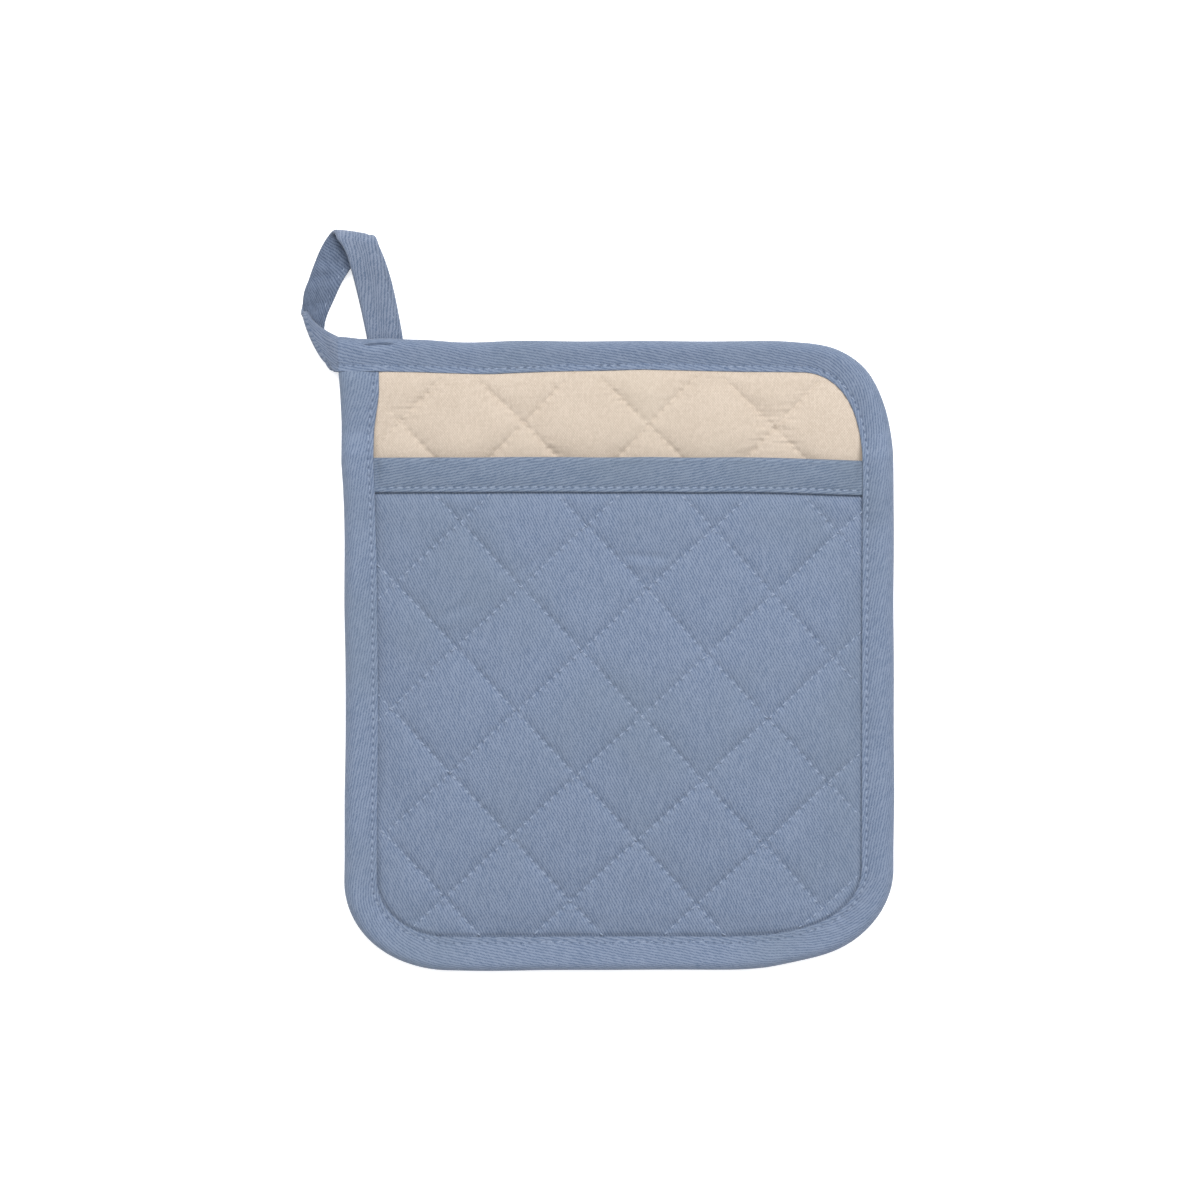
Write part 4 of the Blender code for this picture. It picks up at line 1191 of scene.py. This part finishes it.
SEWN = (
    Stitches("pocket_quilting", seam_paths(POCKET_QUILT, pocket_outside, in_pocket, 1.0, 0.06),
             "blue_twill", blue_thread, 0.62, 0.45, 0.72, 6.0, 12.0),
    Stitches("pocket_lining_quilting", seam_paths(POCKET_QUILT, pocket_lining, in_pocket, -1.0, 0.15),
             "natural_cotton", natural_thread, 0.45, 0.4, 0.8, 0.0, 6.0),
    Stitches("back_inside_quilting", seam_paths(BACK_QUILT, back_inside, in_back, 1.0, 0.0),
             "natural_cotton", natural_thread, 0.45, 0.4, 0.8, 0.0, 6.0),
    Stitches("back_outside_quilting", seam_paths(BACK_QUILT, back_outside, in_back, -1.0, 0.4),
             "blue_twill", blue_thread, 0.45, 0.4, 0.8, 0.0, 6.0),
    Stitches("binding_topstitching", [binding_front_seam], "blue_binding", blue_thread,
             0.5, 0.4, 0.85, 9.0, 6.0),
    Stitches("binding_back_stitching", [binding_back_seam], "blue_binding", blue_thread,
             0.45, 0.3, 0.85, 9.0, 6.0),
    Stitches("band_topstitching", band_seams, "blue_binding", blue_thread, 0.5, 0.4, 0.85, 9.0, 6.0),
    Stitches("loop_stitching", loop_seams, "blue_binding", blue_thread, 0.4, 0.35, 0.8, 9.0, 6.0),
)
for seed, row in enumerate(SEWN, 1):
    sew(row, seed)

# ================================================================ table, light and camera
# A plain white table in soft studio light from above and behind, seen from straight above.
# From here sizes are in metres, but the camera's film and lens are in millimetres.
TABLE_REACH, TABLE_DROP = 3.0, 0.0001
KEY_SIZE, KEY_POWER, KEY_PLACE = (2.2, 1.35), 64.0, (0.34, 1.24, 2.03)
OVERHEAD_GLOW = 1.17
FILM_WIDTH, VIEW_WIDTH, CAMERA_PLACE = 36.0, 0.4364, (-0.00676, 0.0202, 2.0)

table_mesh = bpy.data.meshes.new("white_table")
table_mesh.from_pydata([(x * TABLE_REACH, y * TABLE_REACH, -TABLE_DROP)
                        for x, y in ((-1, -1), (1, -1), (1, 1), (-1, 1))], [], [(0, 1, 2, 3)])
white_table = bpy.data.objects.new("white_table", table_mesh)
bpy.context.scene.collection.objects.link(white_table)
table_paint = bpy.data.materials.new("translucent_white_acrylic")
table_paint.use_nodes = True
table_shader = table_paint.node_tree.nodes["Principled BSDF"]
table_shader.inputs["Base Color"].default_value = linear("#f4f4f4")
table_shader.inputs["Roughness"].default_value = 0.9
table_shader.inputs["Specular IOR Level"].default_value = 0.1
# A studio table of translucent acrylic is lit from below too, which drowns the shadows on it.
table_shader.inputs["Emission Color"].default_value = (1.0, 1.0, 1.0, 1.0)
table_shader.inputs["Emission Strength"].default_value = 0.5
table_mesh.materials.append(table_paint)

key = bpy.data.lights.new("soft_window", "AREA")
key.shape = "RECTANGLE"
key.size, key.size_y = KEY_SIZE
key.energy = KEY_POWER
key_light = bpy.data.objects.new("soft_window", key)
key_light.location = KEY_PLACE
key_light.rotation_euler = (-Vector(key_light.location)).to_track_quat("-Z", "Y").to_euler()
bpy.context.scene.collection.objects.link(key_light)

world = bpy.data.worlds.new("studio")
world.use_nodes = True
# The studio is bright overhead and dimmer towards the sides.
towards = add_node(world.node_tree, "ShaderNodeTexCoord").outputs["Generated"]
skywards = add_node(world.node_tree, "ShaderNodeSeparateXYZ", {0: towards}).outputs["Z"]
glow = add_node(world.node_tree, "ShaderNodeMapRange",
                {"Value": skywards, "To Min": 0.0, "To Max": OVERHEAD_GLOW})
backdrop = world.node_tree.nodes["Background"]
backdrop.inputs["Color"].default_value = (1.0, 1.0, 1.0, 1.0)
world.node_tree.links.new(glow.outputs[0], backdrop.inputs["Strength"])
bpy.context.scene.world = world
bpy.context.scene.view_settings.view_transform = "Standard"

camera_data = bpy.data.cameras.new("camera")
camera_data.sensor_width = FILM_WIDTH
camera_data.lens = FILM_WIDTH * CAMERA_PLACE[2] / VIEW_WIDTH
camera = bpy.data.objects.new("camera", camera_data)
camera.location = CAMERA_PLACE
bpy.context.scene.collection.objects.link(camera)
bpy.context.scene.camera = camera
